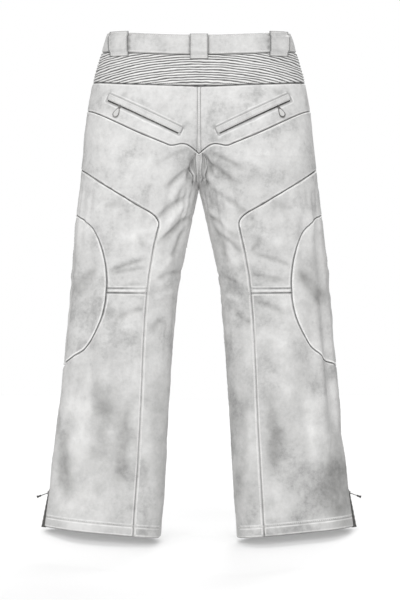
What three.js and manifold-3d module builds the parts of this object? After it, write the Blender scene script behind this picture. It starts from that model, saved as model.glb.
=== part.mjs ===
// Boot-cut ski pants in leather-look fabric, held open as when worn. Millimetres, +Z up.
// The wearer faces +Y, so the back of the pants faces -Y and the wearer's left leg lies at -X.
// Heights below are measured up from the lowest point of the hems; the finished group is lowered
// so that its origin is the middle of the waist opening, level with the top of the side seams.
import * as THREE from "three";
import { mergeVertices } from "three/addons/utils/BufferGeometryUtils.js";
import Module from "manifold-3d";

const wasm = await Module();
wasm.setup();

// ---------------------------------------------------------------- driving dimensions
const OUTSEAM = 1060; // hem to the top of the waistband at the side seam
const CROTCH = 741; // height of the crotch point
const WALL = 3; // outer fabric with its insulation and lining
const SEAM_GAP = 0.5; // open joint left between neighbouring panels
const REACH = 220; // how far a cutting prism reaches past the middle plane
const BACK = -1;
const FRONT = 1;
const LEFT = -1;
const RIGHT = 1;
const SECTION_POWER = 2.4; // 2 is an ellipse, and more is a flatter front and back

const WAIST_WIDTH = 381;
const WAIST_DIP = { [BACK]: 8.5, [FRONT]: 30 }; // how far the top edge falls from side to centre
const BAND_HEIGHT = 42; // waistband, top edge to lower seam
const HEM_INNER = 81; // the hem's inner corner, from the middle plane
const HEM_OUTER = 325;
const HEM_RISE = 24; // the hem's outer corner stands this much higher than its inner one

const LOOP_WIDTH = 38;
const LOOP_HEIGHT = 53;
const LOOP_CLEARANCE = 8.5; // room for the belt between loop and waistband
const LOOP_STRAP = 2.4;
const SIDE_LOOP_X = 165;
const FRONT_LOOP_X = 112;

const TEETH = { inner: 0.9, outer: 2.8, half: 1.2 }; // one row, measured from the zip's middle
const TAPE = { edge: 12, half: 0.3 };
const TAPE_DEPTH = 4.6; // tape's mid plane below the fabric's outer face
const ZIP_STOP = 3;
const SLIDER = { length: 13, width: 10, plate: 1.4, clearance: 0.3, post: 0.6 };
const BRIDGE = { reach: 3.6, leg: 1.2, halfWidth: 0.9, axis: 5.8, hole: 1, top: 1 };
const PULL = { half: 0.7, bar: 0.6, arm: 3.2, slot: 1.4, slotEnd: 5.4, length: 25, halfWidth: 4.6 };
const PULL_TIP_LIFT = 2.6; // the hanging pull's tip, from the fabric's outer face
const ZIP_SLOT = 6; // half the height of the gap that a zip lies in
const WELT = { lift: 4.2, width: 14, low: 0.35, high: 2.4 };

// ---------------------------------------------------------------- shape of the garment
// A smooth curve through [height, value] pairs that never overshoots them.
function profile(points) {
  const rise = points.slice(1).map(([h, v], i) => (v - points[i][1]) / (h - points[i][0]));
  const slope = points.map((_, i) => {
    const before = rise[i - 1] ?? rise[i];
    const after = rise[i] ?? rise[i - 1];
    return before * after > 0 ? (2 * before * after) / (before + after) : 0;
  });
  const last = points.length - 1;
  return (h) => {
    if (h <= points[0][0]) return points[0][1] + slope[0] * (h - points[0][0]);
    if (h >= points[last][0]) return points[last][1] + slope[last] * (h - points[last][0]);
    const i = points.findIndex((p) => p[0] > h) - 1;
    const span = points[i + 1][0] - points[i][0];
    const t = (h - points[i][0]) / span;
    const keep = 1 + 2 * t ** 3 - 3 * t ** 2;
    return (
      keep * points[i][1] +
      (1 - keep) * points[i + 1][1] +
      (t ** 3 - 2 * t ** 2 + t) * span * slope[i] +
      (t ** 3 - t ** 2) * span * slope[i + 1]
    );
  };
}

const outerEdge = profile([
  [0, 328], [110, 313], [340, 285], [515, 268], [730, 250],
  [830, 240.5], [930, 227], [1010, 206], [OUTSEAM, WAIST_WIDTH / 2],
]);
const legInnerEdge = profile([
  [0, HEM_INNER], [80, 75], [320, 63], [450, 52.5], [515, 46.5], [600, 30.5], [700, 8.6], [CROTCH, 0.6],
]);
const hipSpine = profile([[CROTCH, 125.3], [830, 116], [930, 100], [1010, 84], [OUTSEAM, 78]]);
const depth = {
  [BACK]: profile([
    [0, 67], [150, 64], [340, 67], [515, 62], [650, 75], [CROTCH, 85],
    [800, 93], [860, 97], [930, 88], [1010, 69], [OUTSEAM, 61],
  ]),
  [FRONT]: profile([
    [0, 70], [200, 62], [340, 62], [515, 72], [650, 80], [CROTCH, 82],
    [830, 81], [930, 77], [1010, 69], [OUTSEAM, 64],
  ]),
};
// How far the two legs have merged at the middle plane: 0 is two tubes that touch, 1 is one torso.
const merged = {
  [BACK]: profile([[CROTCH, 0], [760, 0.12], [800, 0.45], [830, 0.7], [860, 0.88], [900, 1], [1100, 1]]),
  [FRONT]: profile([[CROTCH, 0], [760, 0.2], [800, 0.62], [840, 0.9], [880, 1], [1100, 1]]),
};

function section(h) {
  const outer = outerEdge(h);
  const inner = h < CROTCH ? legInnerEdge(h) : 0;
  return { outer, inner, spine: h < CROTCH ? (outer + inner) / 2 : hipSpine(h) };
}

// The outer face's Y at a place seen from the front or the back.
function skinY(face, x, h) {
  const { outer, inner, spine } = section(h);
  const ax = Math.abs(x);
  const outside = ax >= spine;
  const share = Math.min(1, outside ? (ax - spine) / (outer - spine) : (spine - ax) / (spine - inner));
  const open = outside || h < CROTCH ? 1 : 1 - merged[face](h);
  return face * depth[face](h) * Math.sqrt(Math.max(0, 1 - open * share ** SECTION_POWER));
}

const skinPoint = (face) => (x, h) => new THREE.Vector3(x, skinY(face, x, h), h);

// A point of the outer face near the side seam: turn is the angle round it, negative at the back.
const sidePoint = (side) => (turn, h) => {
  const { outer, spine } = section(h);
  const face = turn < 0 ? BACK : FRONT;
  const x = spine + (outer - spine) * Math.cos(turn) ** (2 / SECTION_POWER);
  return new THREE.Vector3(side * x, depth[face](h) * Math.sin(turn), h);
};

// ---------------------------------------------------------------- solids
function toSolid(geometry) {
  const bare = geometry.index ? geometry.toNonIndexed() : geometry.clone();
  bare.deleteAttribute("normal");
  bare.deleteAttribute("uv");
  const shape = mergeVertices(bare, 1e-4);
  return new wasm.Manifold(
    new wasm.Mesh({
      numProp: 3,
      vertProperties: new Float32Array(shape.attributes.position.array),
      triVerts: new Uint32Array(shape.index.array),
    }),
  );
}

function toGeometry(solid) {
  const mesh = solid.getMesh();
  const geometry = new THREE.BufferGeometry();
  geometry.setAttribute("position", new THREE.BufferAttribute(new Float32Array(mesh.vertProperties), 3));
  geometry.setIndex(new THREE.BufferAttribute(new Uint32Array(mesh.triVerts), 1));
  geometry.computeVertexNormals();
  return geometry;
}

const join = (solids) => solids.reduce((all, one) => all.add(one));

function indexed(points, faces) {
  const geometry = new THREE.BufferGeometry();
  geometry.setAttribute("position", new THREE.Float32BufferAttribute(points.flatMap((p) => p.toArray()), 3));
  geometry.setIndex(faces.flat());
  return geometry;
}

// The same faces turned over when they were listed inside out.
function facingOut(points, faces) {
  const edges = faces.map(([a, b, c]) => points[a].dot(points[b].clone().cross(points[c])));
  const volume = edges.reduce((sum, one) => sum + one, 0);
  const turned = volume > 0 ? faces : faces.map(([a, b, c]) => [a, c, b]);
  return toSolid(indexed(points, turned));
}

// A closed body from rings of equal length that run anticlockwise, seen from above, bottom ring first.
// Each ring's first half and second half face each other, which lets the caps be laddered across.
function loft(rings) {
  const n = rings[0].length;
  const at = (row, i) => row * n + (i % n);
  const faces = [];
  for (let row = 0; row + 1 < rings.length; row++)
    for (let i = 0; i < n; i++) {
      faces.push([at(row, i), at(row, i + 1), at(row + 1, i + 1)]);
      faces.push([at(row, i), at(row + 1, i + 1), at(row + 1, i)]);
    }
  const top = rings.length - 1;
  for (let i = 0, j = n - 1; i + 1 < j; i++, j--) {
    faces.push([at(top, i), at(top, i + 1), at(top, j)], [at(0, i + 1), at(0, i), at(0, j)]);
    if (i + 1 < j - 1)
      faces.push([at(top, i + 1), at(top, j - 1), at(top, j)], [at(0, j - 1), at(0, i + 1), at(0, j)]);
  }
  return indexed(rings.flat(), faces);
}

// A closed plate over part of a surface, between two distances from it.
function plate(point, [u0, u1], [v0, v1], low, high, outward, across = 6, along = 6) {
  const step = 1e-3;
  const lift = (u, v, height) => {
    const here = point(u, v);
    const du = point(u + step * (u1 - u0), v).sub(here);
    const dv = point(u, v + step * (v1 - v0)).sub(here);
    const normal = du.cross(dv).normalize();
    if (normal.dot(outward) < 0) normal.negate();
    return here.addScaledVector(normal, height);
  };
  const points = [];
  for (const surface of [low, high])
    for (let j = 0; j <= along; j++)
      for (let i = 0; i <= across; i++) {
        const [s, t] = [i / across, j / along];
        points.push(lift(u0 + (u1 - u0) * s, v0 + (v1 - v0) * t, surface(s, t)));
      }
  const row = across + 1;
  const layer = row * (along + 1);
  const faces = [];
  const quad = (a, b, c, d) => faces.push([a, b, c], [a, c, d]);
  for (let j = 0; j < along; j++)
    for (let i = 0; i < across; i++) {
      const a = j * row + i;
      quad(a, a + row, a + row + 1, a + 1);
      quad(layer + a, layer + a + 1, layer + a + row + 1, layer + a + row);
    }
  const rim = [];
  for (let i = 0; i < across; i++) rim.push(i);
  for (let j = 0; j < along; j++) rim.push(j * row + across);
  for (let i = across; i > 0; i--) rim.push(along * row + i);
  for (let j = along; j > 0; j--) rim.push(j * row);
  rim.forEach((a, i) => {
    const b = rim[(i + 1) % rim.length];
    quad(a, b, layer + b, layer + a);
  });
  return facingOut(points, faces);
}

// A prism whose outline is drawn in the X-height plane and which runs through one face of the garment.
function prism(face, outline) {
  const geometry = new THREE.ExtrudeGeometry(new THREE.Shape(outline), {
    depth: REACH,
    bevelEnabled: false,
  });
  geometry.rotateX(Math.PI / 2);
  if (face === FRONT) geometry.translate(0, REACH, 0);
  return toSolid(geometry);
}

// A thin wall along a seam drawn in the X-height plane.
function seamCut(face, side, points, steps = 10) {
  const curve = new THREE.SplineCurve(points.map(([x, h]) => new THREE.Vector2(side * x, h)));
  const line = curve.getPoints(steps);
  const shift = (sign) =>
    line.map((p, i) => {
      const tangent = line[Math.min(i + 1, steps)].clone().sub(line[Math.max(i - 1, 0)]).normalize();
      return new THREE.Vector2(p.x - tangent.y * sign * SEAM_GAP / 2, p.y + tangent.x * sign * SEAM_GAP / 2);
    });
  return prism(face, [...shift(1), ...shift(-1).reverse()]);
}

const box = (x0, x1, y0, y1, z0, z1, steps = 1) =>
  toSolid(
    new THREE.BoxGeometry(x1 - x0, y1 - y0, z1 - z0, steps).translate((x0 + x1) / 2, (y0 + y1) / 2, (z0 + z1) / 2),
  );

// ---------------------------------------------------------------- outer shell
const RING_HALF = 9; // points from the middle plane round to the side seam
const LEVELS = [-6, 110, 240, 380, 515, 620, 700, CROTCH, 765, 800, 850, 910, 965, 1015, 1067];

// One side's cross-section at height h, taken in by inset, as [x, y] pairs.
function ring(side, h, inset) {
  const { outer, inner, spine } = section(h);
  const wall = { [BACK]: [], [FRONT]: [] };
  for (const face of [BACK, FRONT])
    for (let k = 0; k <= RING_HALF; k++) {
      const turn = (Math.PI * k) / RING_HALF;
      const reach = Math.abs(Math.cos(turn)) ** (2 / SECTION_POWER);
      const x = turn < Math.PI / 2 ? spine - (spine - inner) * reach : spine + (outer - spine) * reach;
      const y = k === RING_HALF ? 0 : face * Math.max(0.6, Math.abs(skinY(face, x, h)));
      wall[face].push(new THREE.Vector2(x, y));
    }
  const closed = [...wall[BACK], ...wall[FRONT].slice(0, -1).reverse()];
  const inwards = closed.map((p, i) => {
    const before = closed[i - 1] ?? new THREE.Vector2(p.x - 1, p.y);
    const after = closed[i + 1] ?? new THREE.Vector2(p.x - 1, p.y);
    const tangent = after.clone().sub(before).normalize();
    return new THREE.Vector2(p.x - tangent.y * inset, p.y + tangent.x * inset);
  });
  const points = inset ? pastTheMiddle(inwards, h, inner + inset) : closed;
  const placed = points.map((p) => new THREE.Vector3(side * p.x, p.y, h));
  return side === LEFT ? placed.reverse() : placed;
}

// The hollow runs across the middle plane above the crotch, and closes at the inseam below it.
function pastTheMiddle(points, h, inseam) {
  const inside = points.map((p, i) => {
    const face = i < points.length / 2 ? BACK : FRONT;
    const x = h > CROTCH ? p.x : Math.max(inseam + 0.2, p.x);
    return new THREE.Vector2(x, i === RING_HALF ? 0 : face * Math.max(0.3, face * p.y));
  });
  const across = h > CROTCH ? -12 : inseam;
  const share = h > CROTCH ? 1 : 0.5;
  const end = (p) => new THREE.Vector2(across, p.y * share);
  return [end(inside[0]), ...inside, end(inside[inside.length - 1])];
}

const garment = (side, inset) => toSolid(loft(LEVELS.map((h) => ring(side, h, inset))));

const FIT = 0.35; // gap kept where a trim lies on the shell
const grown = join([LEFT, RIGHT].map((side) => garment(side, -FIT)));
const onShell = (solid) => solid.subtract(grown);

const topEdge = (face, x) => OUTSEAM - WAIST_DIP[face] * (1 - (x / (WAIST_WIDTH / 2)) ** 2);

function aboveWaist(face) {
  const edge = [];
  for (let x = -240; x <= 240; x += 30) edge.push(new THREE.Vector2(x, topEdge(face, x)));
  return prism(face, [...edge, new THREE.Vector2(240, 1100), new THREE.Vector2(-240, 1100)]);
}

function belowHem(face, side) {
  const slope = HEM_RISE / (HEM_OUTER - HEM_INNER);
  const corner = (x, h) => new THREE.Vector2(side * x, h);
  return prism(face, [
    corner(1, -80 * slope), corner(360, (360 - HEM_INNER) * slope), corner(360, -40), corner(1, -40),
  ]);
}

// Seams as seen from behind or in front, as [distance from the middle, height].
const HIP_SEAM = [[245, 895], [216, 888], [132, 849], [73, 824.5], [57, 819], [36, 822.5], [21, 819], [-0.3, 803]];
const THIGH_SEAM = [[262, 782], [210, 745.5], [135, 700], [96, 677], [84, 662], [84, 648]];
const BACK_LEG_SEAM = [[84, 652], [96.6, 592], [108, 515], [115, 407], [123, 230], [135, 23], [137, -12]];
const KNEE_ARC = [[268, 684], [236, 662], [209, 625], [195, 574], [192.5, 520], [203, 461], [237, 402], [292, 354]];
const KNEE_TUCK = [[105.5, 513], [194.5, 514]];
const FRONT_KNEE_TOP = [[268, 684], [225, 655], [130, 620], [5, 606]];
const FRONT_KNEE_FOOT = [[292, 354], [225, 386], [130, 404], [40, 408]];
const RIB_SEAM = [[232, 955], [150, 948], [0, 943], [-150, 948], [-232, 955]];
const bandSeam = (face) =>
  [235, 160, 80, 0, -80, -160, -235].map((x) => {
    const share = x / outerEdge(OUTSEAM - BAND_HEIGHT);
    return [x, OUTSEAM - BAND_HEIGHT - WAIST_DIP[face] * (1 - share ** 2)];
  });

const BACK_ZIP = { outer: [187, 911.5], inner: [45, 844.5], rest: 0.17 };
const FRONT_POCKET = { outer: [200, 900], inner: [140, 966], slit: 5 };
const FLY = { top: 982, foot: 832, rest: 0.06, placketHalfWidth: 24 };
const ANKLE_ZIP = { top: 104, foot: 22, rest: 0.13, pullLift: 62 };

// ---------------------------------------------------------------- zips
// A track carries a frame along a zip: travel is its direction, out leaves the garment, across joins them.
function frameAt(point, travel, out) {
  return { point, travel, out, across: out.clone().cross(travel).normalize() };
}

function straightTrack(from, to, outward) {
  const travel = to.clone().sub(from).normalize();
  const out = outward.clone().addScaledVector(travel, -outward.dot(travel)).normalize();
  const at = (t) => frameAt(from.clone().lerp(to, t), travel, out);
  return { at, length: from.distanceTo(to), steps: 2 };
}

// The circle through three points, followed from the first to the last.
function arcTrack(a, b, c) {
  const [ab, ac] = [b.clone().sub(a), c.clone().sub(a)];
  const axis = ab.clone().cross(ac);
  const toCentre = axis.clone().cross(ab).multiplyScalar(ac.lengthSq())
    .add(ac.clone().cross(axis).multiplyScalar(ab.lengthSq()))
    .divideScalar(2 * axis.lengthSq());
  const centre = a.clone().add(toCentre);
  axis.normalize();
  const start = a.clone().sub(centre);
  const sweep = 2 * start.angleTo(b.clone().sub(centre));
  const at = (t) => {
    const spoke = start.clone().applyAxisAngle(axis, sweep * t);
    const out = spoke.clone().normalize();
    return frameAt(centre.clone().add(spoke), axis.clone().cross(out), out);
  };
  return { at, length: start.length() * sweep, steps: 8, centre, axis, sweep };
}

const onTrack = ({ point, across, out }, [b, o]) =>
  point.clone().addScaledVector(across, b).addScaledVector(out, o);

// A closed bar with the given [across, out] outline, from one share of the track to another.
function sweep(track, outline, from, to, steps = track.steps) {
  const n = outline.length;
  const points = [];
  for (let j = 0; j <= steps; j++) {
    const frame = track.at(from + ((to - from) * j) / steps);
    points.push(...outline.map((pair) => onTrack(frame, pair)));
  }
  const faces = [];
  for (let j = 0; j < steps; j++)
    for (let i = 0; i < n; i++) {
      const [a, b] = [j * n + i, j * n + ((i + 1) % n)];
      faces.push([a, b, b + n], [a, b + n, a + n]);
    }
  const flat = outline.map(([b, o]) => new THREE.Vector2(b, o));
  for (const [a, b, c] of THREE.ShapeUtils.triangulateShape(flat, [])) {
    faces.push([a, c, b], [steps * n + a, steps * n + b, steps * n + c]);
  }
  return facingOut(points, faces);
}

const across = (half, low, high) => [[-half, low], [half, low], [half, high], [-half, high]];

const zipSlot = (track, from, to) => sweep(track, across(ZIP_SLOT, -9, 16), from, to);
const zipRelief = (track, from, to) => sweep(track, across(TAPE.edge + 0.6, -9, TAPE.half + 0.5), from, to);

function zipChain(track, openEnd = false) {
  const half = (sign) => {
    const outline = [
      [TEETH.inner, -TEETH.half], [TEETH.outer, -TEETH.half], [TEETH.outer, -TAPE.half],
      [TAPE.edge, -TAPE.half], [TAPE.edge, TAPE.half], [TEETH.outer, TAPE.half],
      [TEETH.outer, TEETH.half], [TEETH.inner, TEETH.half],
    ].map(([b, o]) => [sign * b, o]);
    return sweep(track, sign > 0 ? outline : outline.reverse(), 0, 1);
  };
  const stop = ZIP_STOP / track.length;
  const bar = across(TEETH.outer, -TEETH.half, TEETH.half);
  const ends = [sweep(track, bar, 0, stop, 1)];
  if (!openEnd) ends.push(sweep(track, bar, 1 - stop, 1, 1));
  return join([half(1), half(-1), ...ends]);
}

// The slider in its own frame: X along the zip, Y across it, Z out of the garment.
function sliderBody(hingeAlong) {
  const { length, width, plate: thick, clearance, post } = SLIDER;
  const near = TEETH.half + clearance;
  const deck = near + thick;
  const { reach, leg, halfWidth, axis, hole, top } = BRIDGE;
  const roof = axis + hole;
  const plates = [-1, 1].map((sign) =>
    box(-length / 2, length / 2, -width / 2, width / 2, ...(sign < 0 ? [-deck, -near] : [near, deck])),
  );
  const legs = [-1, 1].map((sign) => {
    const [a, b] = sign < 0 ? [-reach, -reach + leg] : [reach - leg, reach];
    return hingeAlong
      ? box(-halfWidth, halfWidth, a, b, near + 0.2, roof + top)
      : box(a, b, -halfWidth, halfWidth, near + 0.2, roof + top);
  });
  const beam = hingeAlong
    ? box(-halfWidth, halfWidth, -reach, reach, roof, roof + top)
    : box(-reach, reach, -halfWidth, halfWidth, roof, roof + top);
  return join([...plates, ...legs, beam, box(-1.5, 1.5, -post, post, -near - 0.2, near + 0.2)]);
}

// The pull in its own frame: it hangs along +X from its hinge, which lies along Y.
function pullTab() {
  const { half, bar, arm, slot: eye, slotEnd, length, halfWidth } = PULL;
  const outline = new THREE.Shape();
  outline.moveTo(-bar, -arm);
  outline.lineTo(slotEnd, -arm * 0.8);
  outline.lineTo(length - halfWidth, -halfWidth);
  outline.absarc(length - halfWidth, 0, halfWidth, -Math.PI / 2, Math.PI / 2);
  outline.lineTo(slotEnd, arm * 0.8);
  outline.lineTo(-bar, arm);
  outline.closePath();
  const hole = new THREE.Path();
  hole.moveTo(bar, -eye);
  hole.lineTo(bar, eye);
  hole.lineTo(slotEnd, eye);
  hole.lineTo(slotEnd, -eye);
  hole.closePath();
  outline.holes.push(hole);
  const tab = new THREE.ExtrudeGeometry(outline, { depth: 2 * half, bevelEnabled: false, curveSegments: 6 });
  return toSolid(tab.translate(0, 0, -half));
}

// ---------------------------------------------------------------- the group
const MATERIALS = {
  shell: { color: 0xd8d6d2, roughness: 0.48, metalness: 0 },
  rib: { color: 0xd2d0cc, roughness: 0.52, metalness: 0 },
  lining: { color: 0xc4c3c0, roughness: 0.85, metalness: 0 },
  tape: { color: 0x6c6a67, roughness: 0.7, metalness: 0.2 },
  metal: { color: 0x4a4948, roughness: 0.35, metalness: 0.9 },
  elastic: { color: 0xe6e4e0, roughness: 0.8, metalness: 0 },
};
const group = new THREE.Group();
group.name = "ski_pants";
group.position.z = -OUTSEAM;

function add(name, solid, look, frame) {
  const mesh = new THREE.Mesh(toGeometry(solid), new THREE.MeshStandardMaterial(MATERIALS[look]));
  mesh.name = name;
  if (frame) {
    mesh.position.copy(frame.point);
    mesh.quaternion.setFromRotationMatrix(new THREE.Matrix4().makeBasis(frame.x, frame.y, frame.z));
  }
  group.add(mesh);
}

const sideName = (side) => (side === LEFT ? "left" : "right");

// ---------------------------------------------------------------- zip positions
function lifted(face, x, h, height) {
  const here = skinPoint(face)(x, h);
  const dx = skinPoint(face)(x + 0.1, h).sub(here);
  const dh = skinPoint(face)(x, h + 0.1).sub(here);
  const normal = dx.cross(dh).normalize();
  if (normal.y * face < 0) normal.negate();
  return here.addScaledVector(normal, height);
}

function backPocketTrack(side) {
  const at = (t) => {
    const [x, h] = [0, 1].map((i) => BACK_ZIP.outer[i] + (BACK_ZIP.inner[i] - BACK_ZIP.outer[i]) * t);
    return lifted(BACK, side * x, h, -TAPE_DEPTH);
  };
  return arcTrack(at(0), at(0.5), at(1));
}

function ankleTrack(side) {
  const at = (h) => new THREE.Vector3(side * (outerEdge(h) - TAPE_DEPTH), 0, h);
  return straightTrack(at(ANKLE_ZIP.top), at(ANKLE_ZIP.foot), new THREE.Vector3(side, 0, 0));
}

function flyTrack() {
  const at = (h) => lifted(FRONT, 0, h, -TAPE_DEPTH);
  return straightTrack(at(FLY.top), at(FLY.foot), new THREE.Vector3(0, 1, 0));
}

const tracks = {
  back_pocket_left: backPocketTrack(LEFT),
  back_pocket_right: backPocketTrack(RIGHT),
  ankle_left: ankleTrack(LEFT),
  ankle_right: ankleTrack(RIGHT),
  fly: flyTrack(),
};

// ---------------------------------------------------------------- shell panels
function slit(face, side, from, to, height) {
  const along = new THREE.Vector2(to[0] - from[0], to[1] - from[1]).normalize();
  const corner = ([x, h], rise) => new THREE.Vector2(side * (x - along.y * rise), h + along.x * rise);
  return prism(face, [corner(from, -height), corner(to, -height), corner(to, 0), corner(from, 0)]);
}

function seamCuts() {
  const half = SEAM_GAP / 2;
  const cuts = [
    seamCut(BACK, 1, RIB_SEAM, 10),
    seamCut(BACK, 1, bandSeam(BACK), 10),
    seamCut(FRONT, 1, bandSeam(FRONT), 10),
    box(-half, half, -REACH, 0.1, CROTCH - 10, 943),
    box(-half, half, -0.1, REACH, CROTCH - 10, 1100),
    box(-115, 115, -half, half, -20, CROTCH + 10),
    zipSlot(tracks.fly, -0.02, 1.02),
    zipRelief(tracks.fly, -0.02, 1.02),
  ];
  for (const side of [LEFT, RIGHT]) {
    for (const line of [HIP_SEAM, THIGH_SEAM, BACK_LEG_SEAM, KNEE_ARC]) cuts.push(seamCut(BACK, side, line));
    cuts.push(seamCut(BACK, side, KNEE_TUCK, 1));
    cuts.push(seamCut(FRONT, side, FRONT_KNEE_TOP), seamCut(FRONT, side, FRONT_KNEE_FOOT));
    const [near, far] = side === LEFT ? [-400, -150] : [150, 400];
    cuts.push(box(near, far, -half, half, 671, OUTSEAM - BAND_HEIGHT + half));
    cuts.push(box(near, far, -half, half, -20, 365));
    const name = sideName(side);
    cuts.push(zipSlot(tracks[`back_pocket_${name}`], -0.02, 1.02), zipSlot(tracks[`ankle_${name}`], -0.04, 1.5));
    cuts.push(zipRelief(tracks[`back_pocket_${name}`], -0.02, 1.02));
    cuts.push(zipRelief(tracks[`ankle_${name}`], -0.02, 1.5));
    cuts.push(slit(FRONT, side, FRONT_POCKET.outer, FRONT_POCKET.inner, FRONT_POCKET.slit));
  }
  return cuts;
}

function panels() {
  const sides = [LEFT, RIGHT];
  const outside = join(sides.map((side) => garment(side, 0)));
  const trims = [BACK, FRONT].flatMap((face) => [
    aboveWaist(face), ...sides.map((side) => belowHem(face, side)),
  ]);
  const shell = [...sides.map((side) => garment(side, WALL)), ...trims, ...seamCuts()].reduce(
    (rest, cut) => rest.subtract(cut),
    outside,
  );
  return shell.decompose().filter((piece) => piece.volume() > 2000);
}

// Each panel is known by one place on it: [distance from the middle, height, face].
const SINGLE_PANELS = {
  waistband: [60, OUTSEAM - 28, BACK],
  rib_panel_back: [30, 980, BACK],
};
const PAIRED_PANELS = {
  back_yoke: [110, 930, BACK],
  back_seat: [60, 780, BACK],
  back_thigh: [150, 640, BACK],
  back_calf: [170, 300, BACK],
  knee_panel: [240, 520, BACK],
  front_thigh: [120, 780, FRONT],
  front_shin: [170, 200, FRONT],
};

function addPanels() {
  const pieces = panels();
  const pick = (x, h, face) => {
    const p = lifted(face, x, h, -WALL / 2);
    const probe = box(p.x - 1, p.x + 1, p.y - 1, p.y + 1, h - 1, h + 1);
    return pieces.find((piece) => !piece.intersect(probe).isEmpty());
  };
  for (const [name, [x, h, face]] of Object.entries(SINGLE_PANELS))
    add(name, pick(x, h, face), name === "waistband" ? "shell" : "rib");
  for (const [name, [x, h, face]] of Object.entries(PAIRED_PANELS))
    for (const side of [LEFT, RIGHT]) add(`${name}_${sideName(side)}`, pick(side * x, h, face), "shell");
}

// ---------------------------------------------------------------- waist fittings
function addBeltLoop(name, face, x) {
  const top = topEdge(face, x) + 1;
  const bump = (t) => {
    const foot = Math.min(t, 1 - t);
    return foot < 0.13 ? 0 : Math.min(1, (foot - 0.13) / 0.12);
  };
  const low = (s, t) => 0.35 + LOOP_CLEARANCE * bump(t);
  const high = (s, t) => low(s, t) + LOOP_STRAP;
  const [x0, x1] = [x - LOOP_WIDTH / 2, x + LOOP_WIDTH / 2];
  const outward = new THREE.Vector3(0, face, 0);
  const strap = plate(skinPoint(face), [x0, x1], [top - LOOP_HEIGHT, top], low, high, outward, 2, 12);
  add(name, onShell(strap), "shell");
}

const TAB = { root: 34, tip: -46, half: 15, low: 2.6, thickness: 2, bend: 0.35 };
const SNAP = { x: -28, stud: 5, studHeight: 1.7, cap: 8, capHeight: 1.6 };

function addWaistClosure() {
  const outward = new THREE.Vector3(0, 1, 0);
  const middle = OUTSEAM - WAIST_DIP[FRONT] - BAND_HEIGHT / 2;
  const low = (s) => TAB.low - (TAB.low - TAB.bend) * THREE.MathUtils.smoothstep(s, 0.7, 1);
  const high = (s) => low(s) + TAB.thickness;
  const reach = [TAB.tip, TAB.root];
  const height = [middle - TAB.half, middle + TAB.half];
  add("waist_tab", onShell(plate(skinPoint(FRONT), reach, height, low, high, outward, 8, 1)), "shell");
  const disc = (radius, from, to) => {
    const round = new THREE.CylinderGeometry(radius, radius, to - from, 20).rotateX(Math.PI / 2);
    return toSolid(round.translate(0, 0, (from + to) / 2));
  };
  const seat = lifted(FRONT, SNAP.x, middle, 0);
  const z = lifted(FRONT, SNAP.x, middle, 1).sub(seat);
  const y = new THREE.Vector3(0, 0, 1).addScaledVector(z, -z.z).normalize();
  const frame = { point: seat, x: y.clone().cross(z), y, z };
  const tabTop = TAB.low + TAB.thickness;
  add("snap_stud", disc(SNAP.stud, 0.35, 0.35 + SNAP.studHeight), "metal", frame);
  add("snap_cap", disc(SNAP.cap, tabTop + 0.3, tabTop + 0.3 + SNAP.capHeight), "metal", frame);
}

// ---------------------------------------------------------------- pockets, fly and ankle zips
const constant = (value) => () => value;

function addPlate(name, look, point, u, v, low, high, outward, across, along) {
  const solid = plate(point, u, v, constant(low), constant(high), outward, across, along);
  add(name, low > 0 ? onShell(solid) : solid, look);
}

function addZip(name, track, rest, hingeAlong, hang, openEnd = false) {
  add(`${name}_zip`, zipChain(track, openEnd), "tape");
  const { point, travel, across: side, out } = track.at(rest);
  add(`${name}_slider`, sliderBody(hingeAlong), "metal", { point, x: travel, y: side, z: out });
  const hinge = hingeAlong ? travel : side;
  const x = hang(track.at(rest)).normalize();
  const pivot = point.clone().addScaledVector(out, BRIDGE.axis);
  add(`${name}_pull`, pullTab(), "metal", { point: pivot, x, y: hinge, z: x.clone().cross(hinge) });
}

// Places along a pocket line, with the second coordinate measured square to it on the fabric.
const beside = (face, side, { outer, inner }) => (t, rise) => {
  const along = new THREE.Vector2(inner[0] - outer[0], inner[1] - outer[1]);
  const up = new THREE.Vector2(-along.y, along.x).normalize();
  if (up.y < 0) up.negate();
  return skinPoint(face)(side * (outer[0] + along.x * t + up.x * rise), outer[1] + along.y * t + up.y * rise);
};

function addBackPocket(side) {
  const name = `back_pocket_${sideName(side)}`;
  const track = tracks[name];
  const outward = new THREE.Vector3(0, BACK, 0);
  const hang = ({ point, travel, across, out }) => {
    const pivot = point.clone().addScaledVector(out, BRIDGE.axis);
    const foot = point.clone().addScaledVector(across, across.z < 0 ? PULL.length : -PULL.length);
    const tip = lifted(BACK, foot.x, foot.z, PULL_TIP_LIFT).sub(pivot);
    return tip.addScaledVector(travel, -tip.dot(travel));
  };
  addZip(name, track, BACK_ZIP.rest, true, hang);
  const band = [WELT.lift, WELT.lift + WELT.width];
  addPlate(`${name}_welt`, "shell", beside(BACK, side, BACK_ZIP), [-0.04, 1.04], band, WELT.low, WELT.high, outward, 10, 1);
  const [x0, x1] = [50 * side, 178 * side];
  addPlate(`${name}_bag`, "lining", skinPoint(BACK), [x0, x1], [770, 905], -15.5, -13, outward, 6, 3);
}

function addFrontPocket(side) {
  const name = `front_pocket_${sideName(side)}`;
  const outward = new THREE.Vector3(0, FRONT, 0);
  const band = [-7, 7];
  addPlate(`${name}_welt`, "shell", beside(FRONT, side, FRONT_POCKET), [0, 1], band, WELT.low, WELT.high, outward, 5, 1);
  const [x0, x1] = [105 * side, 195 * side];
  addPlate(`${name}_bag`, "lining", skinPoint(FRONT), [x0, x1], [800, 960], -9, -6.5, outward, 5, 3);
}

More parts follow.
